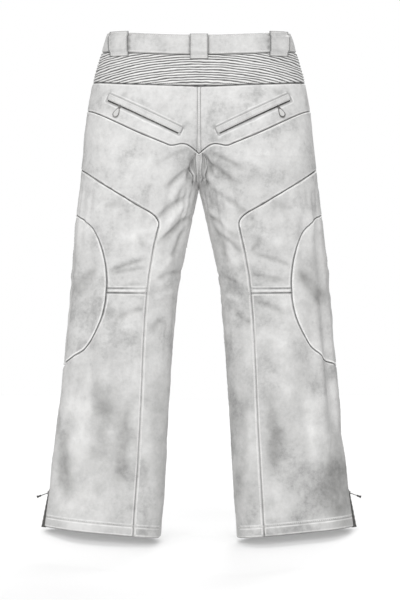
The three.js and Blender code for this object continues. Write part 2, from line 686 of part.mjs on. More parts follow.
function addAnkle(side) {
  const name = `ankle_${sideName(side)}`;
  const lift = THREE.MathUtils.degToRad(ANKLE_ZIP.pullLift);
  const hang = ({ travel, out }) =>
    travel.clone().multiplyScalar(Math.cos(lift)).addScaledVector(out, Math.sin(lift));
  addZip(name, tracks[name], ANKLE_ZIP.rest, false, hang, true);
  const outward = new THREE.Vector3(side, 0, 0);
  addPlate(`${name}_gusset`, "lining", sidePoint(side), [-0.3, 0.3], [28, 122], -11.5, -9.5, outward, 5, 2);
}

function addFly() {
  addZip("fly", tracks.fly, FLY.rest, false, ({ travel }) => travel.clone());
  const outward = new THREE.Vector3(0, FRONT, 0);
  const half = FLY.placketHalfWidth;
  addPlate("fly_placket", "lining", skinPoint(FRONT), [-half, half], [FLY.foot - 12, FLY.top + 6], -16, -14.5,
    outward, 2, 4);
}

// ---------------------------------------------------------------- snow gaiters
const GAITER = { top: 205, foot: 52, thickness: 1.6, bandTop: 66, bandThickness: 2.4 };
const gaiterInset = profile([[GAITER.foot, 24], [110, 19], [180, 8], [GAITER.top, 3.5]]);

function addGaiter(side) {
  const tube = (levels, take) => {
    const rings = (extra) => levels.map((h) => ring(side, h, take(h) + extra));
    return (thickness) => {
      const wide = toSolid(loft(rings(0)));
      const bore = rings(thickness);
      bore[0].forEach((p) => { p.z -= 1; });
      bore[bore.length - 1].forEach((p) => { p.z += 1; });
      return wide.subtract(toSolid(loft(bore)));
    };
  };
  const name = sideName(side);
  const levels = [GAITER.foot, 110, 170, GAITER.top];
  const sleeve = tube(levels, gaiterInset)(GAITER.thickness).intersect(garment(side, WALL + FIT));
  add(`snow_gaiter_${name}`, sleeve, "lining");
  const bandInset = (h) => gaiterInset(h) + GAITER.thickness + 0.6;
  const bandLevels = [GAITER.foot, GAITER.bandTop];
  add(`gaiter_elastic_${name}`, tube(bandLevels, bandInset)(GAITER.bandThickness), "elastic");
}

// ---------------------------------------------------------------- assembly
addPanels();
addBeltLoop("belt_loop_back_centre", BACK, 0);
for (const side of [LEFT, RIGHT]) {
  addBeltLoop(`belt_loop_back_${sideName(side)}`, BACK, side * SIDE_LOOP_X);
  addBeltLoop(`belt_loop_front_${sideName(side)}`, FRONT, side * FRONT_LOOP_X);
  addBackPocket(side);
  addFrontPocket(side);
  addAnkle(side);
  addGaiter(side);
}
addWaistClosure();
addFly();

export default group;
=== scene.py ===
"""Boot-cut ski pants in washed, leather-look fabric, seen from the back.

The garment is one smooth body that is described by angle and height. Its outline comes from a few
profiles, its seams are curves drawn on it, and every panel is the stretch of cloth between seams.
The cloth is cut flat, settled on the body with its folds and puckers, and then trimmed.
Lengths are millimetres up to make_piece, which places them in the frame's metres, and heights are
measured up from the hem's lowest point. x is the distance from the middle of the garment.
"""

import math

import bpy
import numpy as np
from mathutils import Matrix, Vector, geometry, kdtree, noise


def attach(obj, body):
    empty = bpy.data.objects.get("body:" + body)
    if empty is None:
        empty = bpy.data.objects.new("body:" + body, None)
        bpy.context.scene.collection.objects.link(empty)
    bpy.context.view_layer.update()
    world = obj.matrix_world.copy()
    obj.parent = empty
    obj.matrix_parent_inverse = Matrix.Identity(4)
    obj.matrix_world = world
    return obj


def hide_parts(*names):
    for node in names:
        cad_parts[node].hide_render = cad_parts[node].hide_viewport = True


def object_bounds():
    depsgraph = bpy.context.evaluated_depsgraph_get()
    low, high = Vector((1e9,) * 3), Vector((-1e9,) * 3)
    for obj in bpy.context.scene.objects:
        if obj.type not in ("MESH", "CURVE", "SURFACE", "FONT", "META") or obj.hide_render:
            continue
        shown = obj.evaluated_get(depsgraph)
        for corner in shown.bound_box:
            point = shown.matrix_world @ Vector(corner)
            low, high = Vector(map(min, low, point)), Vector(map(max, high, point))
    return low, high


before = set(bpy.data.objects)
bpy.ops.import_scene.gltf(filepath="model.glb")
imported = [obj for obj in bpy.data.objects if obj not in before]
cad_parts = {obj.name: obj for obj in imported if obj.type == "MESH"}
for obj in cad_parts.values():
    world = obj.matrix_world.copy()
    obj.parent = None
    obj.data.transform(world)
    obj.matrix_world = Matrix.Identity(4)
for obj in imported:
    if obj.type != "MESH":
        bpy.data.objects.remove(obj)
CAD_BOX = [list(corner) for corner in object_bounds()]

# ------------------------------------------------------------------ driving dimensions
BACK, FRONT = -1, 1
LEFT, RIGHT = -1, 1
SIDES = {LEFT: "left", RIGHT: "right"}
TURN = 2 * math.pi
OUTSEAM = round(-1000 * CAD_BOX[0][2])  # hem to the top of the waistband
CROTCH = 741.0
POWER = 2.4  # of a section's superellipse: 2 is an ellipse, and more is flatter
WAIST_HALF = 190.5
WAIST_DIP = {BACK: 8.5, FRONT: 30.0}  # how far the top edge falls from side to centre
BAND = 42.0  # height of the waistband
HEM_INNER, HEM_OUTER, HEM_RISE = 81.0, 325.0, 24.0
LOOP_WIDTH, LOOP_HEIGHT = 38.0, 53.0
LOOPS = {
    "belt_loop_back_centre": (BACK, 0.0), "belt_loop_back_left": (BACK, -165.0),
    "belt_loop_back_right": (BACK, 165.0), "belt_loop_front_left": (FRONT, -112.0),
    "belt_loop_front_right": (FRONT, 112.0),
}
BACK_ZIP = ((187.0, 911.5), (45.0, 844.5))  # the zips' and pockets' ends, as (x, height)
FRONT_POCKET = ((200.0, 900.0), (140.0, 966.0))
FLY_ZIP = (982.0, 832.0)
ANKLE_ZIP = (104.0, 22.0)
TAPE_DEPTH = 4.6  # from the body's surface in to the middle of a zip's tape
ZIP_SLOT = 6.0  # half the gap in the cloth over a zip
SLOT_LIP = 0.9  # the lower lip of a back pocket nearly meets its zip
FLY_TOP, FLY_FOOT = 985.0, 829.0
ANKLE_TOP, ANKLE_SLOT = 108.0, 5.0
SIDE_TOP, SIDE_FOOT = 671.0, 365.0  # the side seam stops there, above and below the knee panel
SEAT_SEAM_FOOT = 748.0

FABRIC, PARED = 2.6, 2.1  # the cloth with its lining, and how much thinner it is beside a zip
MESH = 4.0  # spacing of the cloth's triangles
LINE_STEP = 2.0  # spacing of the points along piping and stitching
PLUMP, PUCKER = 1.6, 1.3  # how far a panel swells between seams, and puckers beside them
GROOVE, GROOVE_WIDTH = 2.6, 1.6  # of the dip in which a seam lies
WELT_REACH = 3.0  # a groove is shallower within this distance of a welt or the hem's fold
CALM, EDGE_CALM = 52.0, 14.0  # folds die out this near to the pockets and fly, and to any opening
HEM_FOLD = 22.0
HEM_LEVEL = 14.0  # where the simulated leg starts
LEG_TOP, LEG_ROWS, LEG_COLUMNS, DRAPE_FRAMES = 733.0, 100, 76, 26
DRAPE_GAIN, DRAPE_LIMIT = 1.3, 5.5
LEG_SEAM, LEG_SEAM_WIDTH, LEG_SEAM_TOP = 118.0, 26.0, 640.0  # a softer seam down the back of each leg
RIB_PITCH, RIB_HEIGHT, RIB_ARCH = 5.4, 3.0, 32 / 210**2


def bell(value, centre, width):
    return np.exp(-(((value - centre) / width) ** 2))


def profile(points):
    """A smooth curve through (height, value) pairs that never overshoots them."""
    h, v = np.array(points, float).T
    rise = np.diff(v) / np.diff(h)
    before, after = np.append(rise[0], rise), np.append(rise, rise[-1])
    total = np.where(before * after > 0, before + after, 1.0)
    slope = np.where(before * after > 0, 2 * before * after / total, 0.0)

    def curve(at):
        at = np.asarray(at, float)
        i = np.clip(np.searchsorted(h, at, side="right") - 1, 0, len(h) - 2)
        span = h[i + 1] - h[i]
        t = np.clip((at - h[i]) / span, 0, 1)
        keep = 1 + 2 * t**3 - 3 * t**2
        inside = keep * v[i] + (1 - keep) * v[i + 1]
        inside = inside + (t**3 - 2 * t**2 + t) * span * slope[i] + (t**3 - t**2) * span * slope[i + 1]
        beyond = slope[0] * np.minimum(at - h[0], 0) + slope[-1] * np.maximum(at - h[-1], 0)
        return inside + beyond

    return curve


outer_edge = profile([
    (0, 328), (110, 313), (340, 285), (515, 268), (730, 250),
    (830, 240.5), (930, 227), (1010, 206), (1060, 190.5),
])
leg_inner_edge = profile([
    (0, 81), (80, 75), (320, 63), (450, 52.5), (515, 46.5), (600, 30.5), (700, 8.6), (741, 0.6),
])
hip_spine = profile([(741, 125.3), (830, 116), (930, 100), (1010, 84), (1060, 78)])
back_depth = profile([
    (0, 67), (150, 64), (340, 67), (515, 62), (650, 75), (741, 85),
    (800, 93), (860, 97), (930, 88), (1010, 69), (1060, 61),
])
front_depth = profile([
    (0, 70), (200, 62), (340, 62), (515, 72), (650, 80), (741, 82),
    (830, 81), (930, 77), (1010, 69), (1060, 64),
])
back_merge = profile([(741, 0), (760, 0.12), (800, 0.45), (830, 0.7), (860, 0.88), (900, 1), (1100, 1)])
front_merge = profile([(741, 0), (760, 0.2), (800, 0.62), (840, 0.9), (880, 1), (1100, 1)])
gaiter_inset = profile([(52, 24), (110, 19), (180, 8), (205, 4.3)])


def section(h):
    """The outer edge, the inner edge and the deepest line of the cross-section at a height, as x."""
    outer = outer_edge(h)
    inner = np.where(h < CROTCH, leg_inner_edge(h), 0.0)
    spine = np.where(h < CROTCH, (outer + inner) / 2, hip_spine(h))
    return outer, inner, spine


def body(phi, h, side):
    """Points of the smooth body.

    phi runs from the inner back, 0, past the side seam, pi, to the inner front, 2 pi.
    """
    phi, h = np.broadcast_arrays(np.asarray(phi, float), np.asarray(h, float))
    outer, inner, spine = section(h)
    c, s = np.cos(phi), np.sin(phi)
    share = np.abs(c) ** (2 / POWER)
    x = np.where(c > 0, spine - (spine - inner) * share, spine + (outer - spine) * share)
    merge = np.where(phi < math.pi, back_merge(h), front_merge(h))
    is_open = np.where((c < 0) | (h < CROTCH), 1.0, 1 - np.clip(merge, 0, 1))
    depth = np.where(phi < math.pi, -back_depth(h), front_depth(h))
    inseam = np.sqrt(np.clip(1 - is_open * c * c, 0, 1))
    y = depth * np.where(is_open == 1.0, np.abs(s), inseam)
    return np.stack([side * x, y, h], axis=-1)


def phi_of(face, x, h):
    """The angle at which the body's back or front lies at x."""
    outer, inner, spine = section(h)
    x = np.clip(x, inner, outer)
    out = x >= spine
    share = np.where(out, (x - spine) / (outer - spine), (spine - x) / (spine - inner))
    turn = np.arccos(np.clip(share, 0, 1) ** (POWER / 2))
    back = np.where(out, math.pi - turn, turn)
    return back if face == BACK else TURN - back


LEVEL_TABLE = np.arange(-10, 1080, 10.0)
ANGLES = np.linspace(0, TURN, 121)
GIRTH_TABLE = np.array([
    np.linalg.norm(np.diff(body(ANGLES, level, 1), axis=0), axis=1).sum() for level in LEVEL_TABLE
])


def radius_at(h):
    """The radius of a circle as long as the section's girth."""
    return np.interp(h, LEVEL_TABLE, GIRTH_TABLE) / TURN


def flat(phi, h):
    """A place on one half of the garment, laid flat in millimetres."""
    phi, h = np.broadcast_arrays(phi, h)
    return np.stack([(phi - math.pi) * radius_at(h), h], axis=-1)


def unflat(points):
    """The angles and heights of flat points."""
    return points[..., 0] / radius_at(points[..., 1]) + math.pi, points[..., 1]


# ------------------------------------------------------------------ seams
def spline(points, spacing=2.0):
    """A Catmull-Rom curve through the points, sampled evenly."""
    p = np.array(points, float)
    p = np.vstack([2 * p[0] - p[1], p, 2 * p[-1] - p[-2]])
    t = np.linspace(0, 1, 24, endpoint=False)[:, None]
    parts = []
    for a, b, c, d in zip(p, p[1:], p[2:], p[3:]):
        bend = (2 * b) + (c - a) * t + (2 * a - 5 * b + 4 * c - d) * t**2 + (3 * b - a - 3 * c + d) * t**3
        parts.append(bend / 2)
    return resample(np.vstack([*parts, p[-2:-1]]), spacing)


def resample(line, spacing):
    """The same line in even steps of about the spacing."""
    line = np.asarray(line, float)
    step = np.linalg.norm(np.diff(line, axis=0), axis=1)
    run = np.append(0, np.cumsum(step))
    count = max(1, int(round(run[-1] / spacing)))
    at = np.linspace(0, run[-1], count + 1)
    return np.stack([np.interp(at, run, line[:, k]) for k in range(line.shape[1])], axis=1)


def on_face(face, line):
    """A curve of (distance from the middle, height) on the back or the front, as flat points."""
    line = resample(line, 0.25)
    outer, inner, _ = section(line[:, 1])
    inside = np.flatnonzero((line[:, 0] < outer) & (line[:, 0] > inner))
    first, last = max(inside[0] - 1, 0), min(inside[-1] + 1, len(line) - 1)
    line = line[first : last + 1]
    return resample(flat(phi_of(face, line[:, 0], line[:, 1]), line[:, 1]), 1.5)


def top_edge(face, x):
    """The height of the waistband's top edge."""
    return OUTSEAM - WAIST_DIP[face] * (1 - (x / WAIST_HALF) ** 2)


def band_seam(face):
    """The waistband's lower seam, as (x, height) points."""
    half = float(outer_edge(OUTSEAM - BAND))
    x = np.linspace(0, half, 90)
    return np.stack([x, OUTSEAM - BAND - WAIST_DIP[face] * (1 - (x / half) ** 2)], axis=1)


def hem_height(phi):
    """The hem's height round the leg."""
    h = np.full_like(phi, 10.0)
    for _ in range(6):
        x = body(phi, h, 1)[..., 0]
        h = (x - HEM_INNER) * HEM_RISE / (HEM_OUTER - HEM_INNER)
    return h


BACK_SEAMS = {
    "hip": [(245, 895), (216, 888), (132, 849), (73, 824.5), (57, 819), (36, 822.5), (21, 819), (0, 803)],
    "thigh": [(262, 782), (210, 745.5), (135, 700), (96, 677), (84, 662), (84, 650)],
    "leg": [(84, 650), (96.6, 592), (108, 515), (115, 407), (123, 230), (135, 23), (137, -12)],
    "knee": [
        (268, 684), (236, 662), (209, 625), (195, 574),
        (192.5, 520), (203, 461), (237, 402), (292, 354),
    ],
    "tuck": [(107.5, 513), (193, 514)],
    "rib": [(232, 955), (150, 948), (0, 943), (-60, 944)],
}
FRONT_SEAMS = {
    "front_knee_top": [(268, 684), (225, 655), (130, 620), (5, 606)],
    "front_knee_foot": [(292, 354), (225, 386), (130, 404), (40, 408)],
}


def ends_beyond(ends, past):
    """A line's ends moved apart by past at each end, and the upward direction across the line."""
    a, b = np.array(ends[0]), np.array(ends[1])
    along = (b - a) / np.linalg.norm(b - a)
    up = np.array([-along[1], along[0]])
    return a - along * past, b + along * past, up if up[1] > 0 else -up


def slot_outline(face, ends, low, high, past):
    """The rectangle beside a line, from low to high across it, as flat points."""
    a, b, up = ends_beyond(ends, past)
    corners = np.array([a + up * low, b + up * low, b + up * high, a + up * high, a + up * low])
    return on_face(face, np.vstack([resample(corners[i : i + 2], 3.0) for i in range(4)]))


seams = {name: on_face(BACK, spline(line)) for name, line in BACK_SEAMS.items()}
seams.update({name: on_face(FRONT, spline(line)) for name, line in FRONT_SEAMS.items()})
seams["band_back"] = on_face(BACK, band_seam(BACK))
seams["band_front"] = on_face(FRONT, band_seam(FRONT))
seams["side_top"] = flat(math.pi, np.linspace(SIDE_TOP, OUTSEAM - BAND, 120))
seams["side_foot"] = flat(math.pi, np.linspace(ANKLE_TOP, SIDE_FOOT, 90))
seams["pocket"] = slot_outline(BACK, BACK_ZIP, -SLOT_LIP, ZIP_SLOT, 3.0)
ankle_h = np.arange(-4.0, ANKLE_TOP + 0.1, 4.0)
ankle_side = np.stack([np.full_like(ankle_h, ANKLE_SLOT), ankle_h], axis=1)
seams["ankle"] = np.vstack([ankle_side * (-1, 1), ankle_side[::-1]])
fly_h = np.arange(FLY_FOOT, FLY_TOP + 0.1, 4.0)
seams["fly"] = np.vstack([
    flat(TURN, np.array([FLY_FOOT])),
    flat(phi_of(FRONT, ZIP_SLOT, fly_h), fly_h),
    flat(TURN, np.array([FLY_TOP])),
])


def half_top(face, x):
    """The waistband's top edge on one half of the back or the front, as flat points."""
    return flat(phi_of(face, x, OUTSEAM), top_edge(face, x))


def edge_line(phi):
    """The inside of a leg and the middle of the back or the front, from the hem to the top."""
    low = float(hem_height(np.array([phi]))[0])
    high = top_edge(BACK if phi < math.pi else FRONT, 0.0)
    return flat(phi, np.linspace(low, high, 260))


hem_phi = np.linspace(0, TURN, 110)
middle_back, middle_front = edge_line(0.0), edge_line(TURN)
borders = {
    "hem": flat(hem_phi, hem_height(hem_phi)),
    "top": np.vstack([
        half_top(BACK, np.linspace(0, WAIST_HALF, 60)),
        half_top(FRONT, np.linspace(WAIST_HALF, 0, 60)),
    ]),
    "middle_back": middle_back,
    "middle_front": middle_front,
}

seat_seam_h = np.linspace(806.0, 941, 60)
crotch_h = np.linspace(SEAT_SEAM_FOOT, 802, 30)
creases = {
    "seat_fell": flat(phi_of(BACK, 3.4, seat_seam_h), seat_seam_h),
    "crotch_fell": flat(phi_of(BACK, 5.2, crotch_h), crotch_h),
    "hem_fold": flat(hem_phi[6:-6], hem_height(hem_phi[6:-6]) + HEM_FOLD),
    "back_welt": slot_outline(BACK, BACK_ZIP, -2.0, 15.8, 6.2),
    "front_welt": slot_outline(FRONT, FRONT_POCKET, -7.3, 7.3, 0.4),
    "crotch_gather": on_face(BACK, [(8, 801), (13, 789), (15, 773), (11.5, 758), (13, 744)]),
    "tuck_top": on_face(BACK, [(107, 523), (193, 523.5)]),
}


# ------------------------------------------------------------------ cutting the cloth
def side_steps(line, gap):
    """The polyline moved sideways on the flat cloth."""
    tangent = np.gradient(line, axis=0)
    tangent /= np.maximum(np.linalg.norm(tangent, axis=1), 1e-9)[:, None]
    normal = np.stack([-tangent[:, 1], tangent[:, 0]], axis=1)
    return line + normal * gap


def beside(line, gap):
    """A line beside another, in steps that suit piping and stitching."""
    return side_steps(resample(line, LINE_STEP), gap)


def tree_of(lines):
    """A search tree of places along some lines."""
    dense = np.vstack([resample(line, 0.8) for line in lines])
    tree = kdtree.KDTree(len(dense))
    for i, (u, v) in enumerate(dense):
        tree.insert((u, v, 0), i)
    tree.balance()
    return tree


def distances(tree, points):
    """How far flat points are from the nearest line of a tree."""
    return np.array([tree.find((u, v, 0))[2] for u, v in points])


def cut_cloth():
    """One half of the garment as flat points and triangles, and the edges that lie on seams."""
    lines = {**seams, **borders, **creases}
    tree = tree_of(list(lines.values()))
    points, edges = [], []
    for line in (*seams.values(), *borders.values()):
        line = resample(line, 5.0)
        start = len(points)
        points.extend(line)
        edges.extend((start + i, start + i + 1) for i in range(len(line) - 1))
    points.extend(p for line in creases.values() for p in line)
    for gap in (-5.2, -3.4, -1.4, 1.4, 3.4, 5.2):
        for line in lines.values():
            moved = side_steps(resample(line, 5.0), gap)
            near = distances(tree, moved)
            points.extend(moved[np.abs(near - abs(gap)) < 0.25])
    border = np.vstack(list(borders.values()))
    low, high = border.min(axis=0), border.max(axis=0)
    rows = np.arange(low[1], high[1], MESH * 0.87)
    lattice = []
    for j, v in enumerate(rows):
        u = np.arange(low[0], high[0], MESH) + (MESH / 2 if j % 2 else 0)
        lattice.append(np.stack([u, np.full_like(u, v)], axis=1))
    lattice = np.vstack(lattice)
    points.extend(lattice[distances(tree, lattice) > 7.6])
    points = np.array(points)
    phi, _ = unflat(points)
    inside = (phi > -0.02) & (phi < TURN + 0.02)
    marks = np.cumsum(inside) - 1
    kept = points[inside]
    edges = [(int(marks[a]), int(marks[b])) for a, b in edges if inside[a] and inside[b]]
    verts, out_edges, faces, _, made_from, _ = geometry.delaunay_2d_cdt(
        [Vector(p) for p in kept], edges, [], 0, 0.02
    )
    fixed = {frozenset(edge) for edge, source in zip(out_edges, made_from) if source}
    return np.array([tuple(v) for v in verts]), [tuple(f) for f in faces], fixed


def spread(faces, fixed):
    """Numbers each triangle by the panel it lies in, by spreading across every edge that isn't a seam."""
    owners = {}
    for k, face in enumerate(faces):
        for i in range(3):
            owners.setdefault(frozenset((face[i], face[(i + 1) % 3])), []).append(k)
    beside = [[] for _ in faces]
    for edge, pair in owners.items():
        if len(pair) == 2 and edge not in fixed:
            beside[pair[0]].append(pair[1])
            beside[pair[1]].append(pair[0])
    label = np.full(len(faces), -1)
    count = 0
    for seed in range(len(faces)):
        if label[seed] >= 0:
            continue
        label[seed] = count
        stack = [seed]
        while stack:
            for other in beside[stack.pop()]:
                if label[other] < 0:
                    label[other] = count
                    stack.append(other)
        count += 1
    return label


# ------------------------------------------------------------------ relief of the cloth
def outward(phi, h, side):
    """Unit normals of the smooth body."""
    step = 1e-3
    phi = np.clip(phi, 0.02, TURN - 0.02)
    du = body(phi + step, h, side) - body(phi - step, h, side)
    dv = body(phi, h + 0.5, side) - body(phi, h - 0.5, side)
    normal = np.cross(du, dv) * side
    return normal / np.maximum(np.linalg.norm(normal, axis=-1, keepdims=True), 1e-9)


def soft_noise(points, size, seed):
    """Smooth noise from -1 to 1, whose lumps are about size across; size may differ along each axis."""
    at = points / np.asarray(size, float) + seed * 17.3
    return np.array([noise.noise(Vector(p)) for p in at.reshape(-1, 3)]).reshape(at.shape[:-1])


def add_object(name, data):
    obj = bpy.data.objects.new(name, data)
    bpy.context.scene.collection.objects.link(obj)
    return obj


def ring_faces(rings, n):
    """Faces between closed rings of n points, one ring after another."""
    return [
        (j * n + i, j * n + (i + 1) % n, (j + 1) * n + (i + 1) % n, (j + 1) * n + i)
        for j in range(rings - 1) for i in range(n)
    ]


def grid_faces(rows, n):
    """Faces between rows of n points, one row after another."""
    return [
        (i * n + j, (i + 1) * n + j, (i + 1) * n + j + 1, i * n + j + 1)
        for i in range(rows - 1) for j in range(n - 1)
    ]


def turned_over(faces):
    return [tuple(reversed(face)) for face in faces]


def leg_cloth(side):
    """A coarse tube of cloth for one leg, a little larger than the body it hangs on."""
    levels = np.linspace(HEM_LEVEL, LEG_TOP, LEG_ROWS)
    turn = np.linspace(0, TURN, LEG_COLUMNS, endpoint=False)
    h, phi = (grid.ravel() for grid in np.meshgrid(levels, turn, indexing="ij"))
    start, normal = body(phi, h, side), outward(phi, h, side)
    wobble = 1.2 * soft_noise(start, (70, 70, 55), 20.0 + side)
    wobble += 0.5 * soft_noise(start, (28, 28, 24), 30.0 + side)
    mesh = bpy.data.meshes.new("leg_cloth")
    places = (start + normal * wobble[:, None]) / 1000
    mesh.from_pydata(places.tolist(), [], ring_faces(LEG_ROWS, LEG_COLUMNS))
    obj = add_object("leg_cloth", mesh)
    held = bell(h, LEG_TOP, 16) + bell(h, HEM_LEVEL, 26)
    for line, grip in (("leg", 0.10), ("knee", 0.10), ("thigh", 0.14)):
        gap = distances(tree_of([seams[line]]), flat(phi, h))
        held = np.maximum(held, grip * bell(gap, 0, 8))
    held = np.maximum(held, 0.12 * np.clip((330 - h) / 250, 0, 1))
    pins = obj.vertex_groups.new(name="pins")
    for index, weight in enumerate(np.clip(held, 0.02, 1)):
        pins.add([index], float(weight), "REPLACE")
    return obj, start, normal


def drape_leg(side):
    """How far a leg's cloth moves out of the body in a simulation, on a grid of height and angle.

    The waves that would only shift or flatten the whole leg are taken out.
    """
    obj, start, normal = leg_cloth(side)
    cloth = obj.modifiers.new("drape", "CLOTH")
    settings = cloth.settings
    settings.vertex_group_mass = "pins"
    settings.quality = 6
    settings.mass = 0.35
    settings.air_damping = 2.0
    settings.tension_stiffness = settings.compression_stiffness = 22
    settings.shear_stiffness = 6
    settings.bending_stiffness = 1.6
    settings.shrink_min = settings.shrink_max = -0.030
    settings.pin_stiffness = 1.0
    settings.use_pressure = True
    settings.uniform_pressure_force = 0.6
    cloth.collision_settings.use_collision = False
    cloth.point_cache.frame_start, cloth.point_cache.frame_end = 1, DRAPE_FRAMES
    scene = bpy.context.scene
    for number in range(1, DRAPE_FRAMES + 1):
        scene.frame_set(number)
    drawn = obj.evaluated_get(bpy.context.evaluated_depsgraph_get()).to_mesh()
    places = np.empty(len(drawn.vertices) * 3, np.float32)
    drawn.vertices.foreach_get("co", places)
    scene.frame_set(1)
    bpy.data.meshes.remove(obj.data)
    out = ((places.reshape(-1, 3) * 1000 - start) * normal).sum(axis=1).reshape(LEG_ROWS, LEG_COLUMNS)
    turn = np.linspace(0, TURN, LEG_COLUMNS, endpoint=False)
    for wave in (np.ones_like(turn), np.cos(turn), np.sin(turn), np.cos(2 * turn), np.sin(2 * turn)):
        out -= np.outer(out @ wave / (wave @ wave), wave)
    return np.clip(DRAPE_GAIN * out, -DRAPE_LIMIT, DRAPE_LIMIT)


def drape(phi, h, side):
    """The simulated leg's lift at any angle and height."""
    row = np.clip((h - HEM_LEVEL) / (LEG_TOP - HEM_LEVEL), 0, 1) * (LEG_ROWS - 1)
    column = np.clip(phi, 0, TURN) / TURN * LEG_COLUMNS
    i, j = np.minimum(row.astype(int), LEG_ROWS - 2), column.astype(int)
    v, u = row - i, column - j
    grid, j, k = drapes[side], j % LEG_COLUMNS, (j + 1) % LEG_COLUMNS
    low = grid[i, j] * (1 - u) + grid[i, k] * u
    high = grid[i + 1, j] * (1 - u) + grid[i + 1, k] * u
    return (low * (1 - v) + high * v) * (h < LEG_TOP) * np.clip((h - 215) / 70, 0, 1)


# Creases (negative) and rolls (positive) that wear leaves: start, end, width and height.
FOLD_STROKES = [
    ((6, 806), (15, 758), 3.5, -4.5), ((9, 800), (26, 752), 4, -4.2), ((5, 764), (24, 744), 4, -4.5),
    ((10, 786), (74, 738), 5, -4.2), ((18, 768), (64, 700), 7, 3.0),
    ((14, 816), (98, 776), 5, -2.8), ((26, 728), (108, 664), 5, -4.0), ((22, 700), (72, 640), 8, 4.2),
    ((16, 684), (78, 622), 6, -4.4), ((30, 660), (60, 574), 5, -3.0), ((42, 648), (92, 604), 4, -2.8),
    ((50, 600), (86, 560), 6, 2.6), ((34, 560), (86, 538), 4, -2.8), ((96, 646), (186, 616), 9, 3.0),
    ((112, 594), (192, 566), 4, -3.2), ((104, 562), (184, 548), 4, -2.8), ((112, 541), (170, 532), 3.5, -2.2),
    ((196, 704), (252, 640), 12, 2.8), ((210, 566), (262, 500), 12, -3.8), ((112, 492), (172, 468), 6, -3.4),
    ((120, 452), (206, 398), 12, 2.6), ((60, 800), (152, 772), 11, 2.4), ((150, 938), (186, 902), 7, -3.0),
    ((64, 900), (90, 868), 12, -1.6), ((70, 470), (104, 440), 7, -2.6), ((205, 690), (150, 700), 8, -2.2),
    ((46, 520), (92, 498), 6, 2.6), ((150, 300), (165, 120), 14, -3.2), ((232, 330), (250, 150), 16, 3.4),
    ((110, 260), (100, 90), 12, 2.4), ((280, 250), (290, 90), 13, -3.0), ((128, 640), (112, 600), 5, -2.4),
]


def wander(p):
    """A slow drift, from about -1 to 1, that keeps creases from running straight."""
    return 0.6 * soft_noise(p, (60, 60, 60), 3.0) + 0.5 * soft_noise(p, (22, 22, 22), 11.0)


def strokes(p, side):
    """The height of the creases and rolls at places on the smooth body."""
    x, h, drift = np.abs(p[..., 0]), p[..., 2], wander(p)
    total = np.zeros_like(h)
    for k, ((x0, h0), (x1, h1), width, height) in enumerate(FOLD_STROKES):
        shift = 7.0 * side * math.sin(2.4 * k)
        along = np.array([x1 - x0, h1 - h0], float)
        length = np.linalg.norm(along)
        along /= length
        across = np.array([-along[1], along[0]])
        dx, dh = x - x0 - 0.4 * shift, h - h0 - shift
        run = (dx * along[0] + dh * along[1]) / length
        off = dx * across[0] + dh * across[1] + 0.16 * length * (run - 0.5) ** 2 + 5.0 * drift
        taper = np.clip(np.minimum(run, 1 - run) * 3.2 + 0.35, 0, 1)
        total += height * taper**1.5 * bell(off, 0, width * (0.75 + 0.5 * np.clip(run, 0, 1)))
    return total


def folds(phi, h, side):
    """How far the worn cloth stands off the smooth body, in millimetres."""
    p = body(phi, h, side)
    back = phi < math.pi
    lift = 3.0 * soft_noise(p, (90, 90, 170), 1.0) + 1.5 * soft_noise(p, (32, 32, 46), 2.0)
    lift += strokes(p, side) * np.where(back, 1.0, 0.8)
    lift += drape(phi, h, side)
    crease = h + 0.16 * side * p[..., 0] + 14 * soft_noise(p, (70, 70, 45), 4.0)
    knee = bell(h, 528, 62) * np.where(back, 1.0, 0.35)
    lift += 1.2 * knee * np.sin(crease / 6.6)
    shank = np.clip((470 - h) / 470, 0, 1)
    flute = np.cos(4.6 * phi + 0.9 * side + 1.4 * np.sin(h / 140 + side))
    lift += 3.6 * shank**1.2 * flute * np.abs(np.sin(phi)) ** 0.6
    lift = np.maximum(lift, -1.4 - 0.12 * np.maximum(np.abs(h - 195) - 17, 0))
    below_waist = np.clip((OUTSEAM - BAND - h) / 30, 0, 1)
    return lift * below_waist + 0.5 * (1 - below_waist) * soft_noise(p, (30, 30, 16), 6.0)


OPENINGS = ("pocket", "ankle", "fly")
grooves = [line for name, line in seams.items() if name not in OPENINGS]
grooves += [borders["hem"], borders["top"], middle_front, *creases.values()]
grooves += [middle_back[middle_back[:, 1] < SEAT_SEAM_FOOT]]
full_tree = tree_of(grooves)
drapes = {side: drape_leg(side) for side in SIDES}
welt_tree = tree_of([creases["back_welt"], creases["front_welt"], creases["hem_fold"]])
opening_tree = tree_of([seams[name] for name in OPENINGS])
calm_tree = tree_of([seams["pocket"], seams["fly"]])
waist_tree = tree_of([
    seams["band_back"], seams["band_front"], borders["top"], middle_front[middle_front[:, 1] > 900],
])


def leg_seam_at(x, h):
    """1 along the soft seam down the back of each leg, 0 away from it."""
    return bell(x, LEG_SEAM, LEG_SEAM_WIDTH) * (h < LEG_SEAM_TOP)


def relief(points, side, tree=None):
    """Folds, puckers and the groove at each seam, for flat points; and the distance to the nearest seam."""
    gap = distances(tree or full_tree, points)
    phi, h = unflat(points)
    p = body(phi, h, side)
    lift = folds(phi, h, side)
    lift += np.exp(-gap / 10) * PUCKER * soft_noise(p, (7, 7, 7), 5.0)
    edge = distances(opening_tree, points)
    lift += PLUMP * (1 - np.exp(-np.minimum(gap, edge) / 5.0))
    lift *= (1 - bell(distances(calm_tree, points), 0, CALM)) * (1 - bell(edge, 0, EDGE_CALM))
    shallow = 1 - 0.6 * bell(distances(welt_tree, points), 0, WELT_REACH)
    shallow *= 1 - 0.5 * leg_seam_at(np.abs(p[:, 0]), h)
    lift -= GROOVE * bell(gap, 0, GROOVE_WIDTH) * np.clip(edge / 6, 0.2, 1) * shallow
    lift -= 0.5 * bell(edge, 0, 1.4)
    return lift, gap


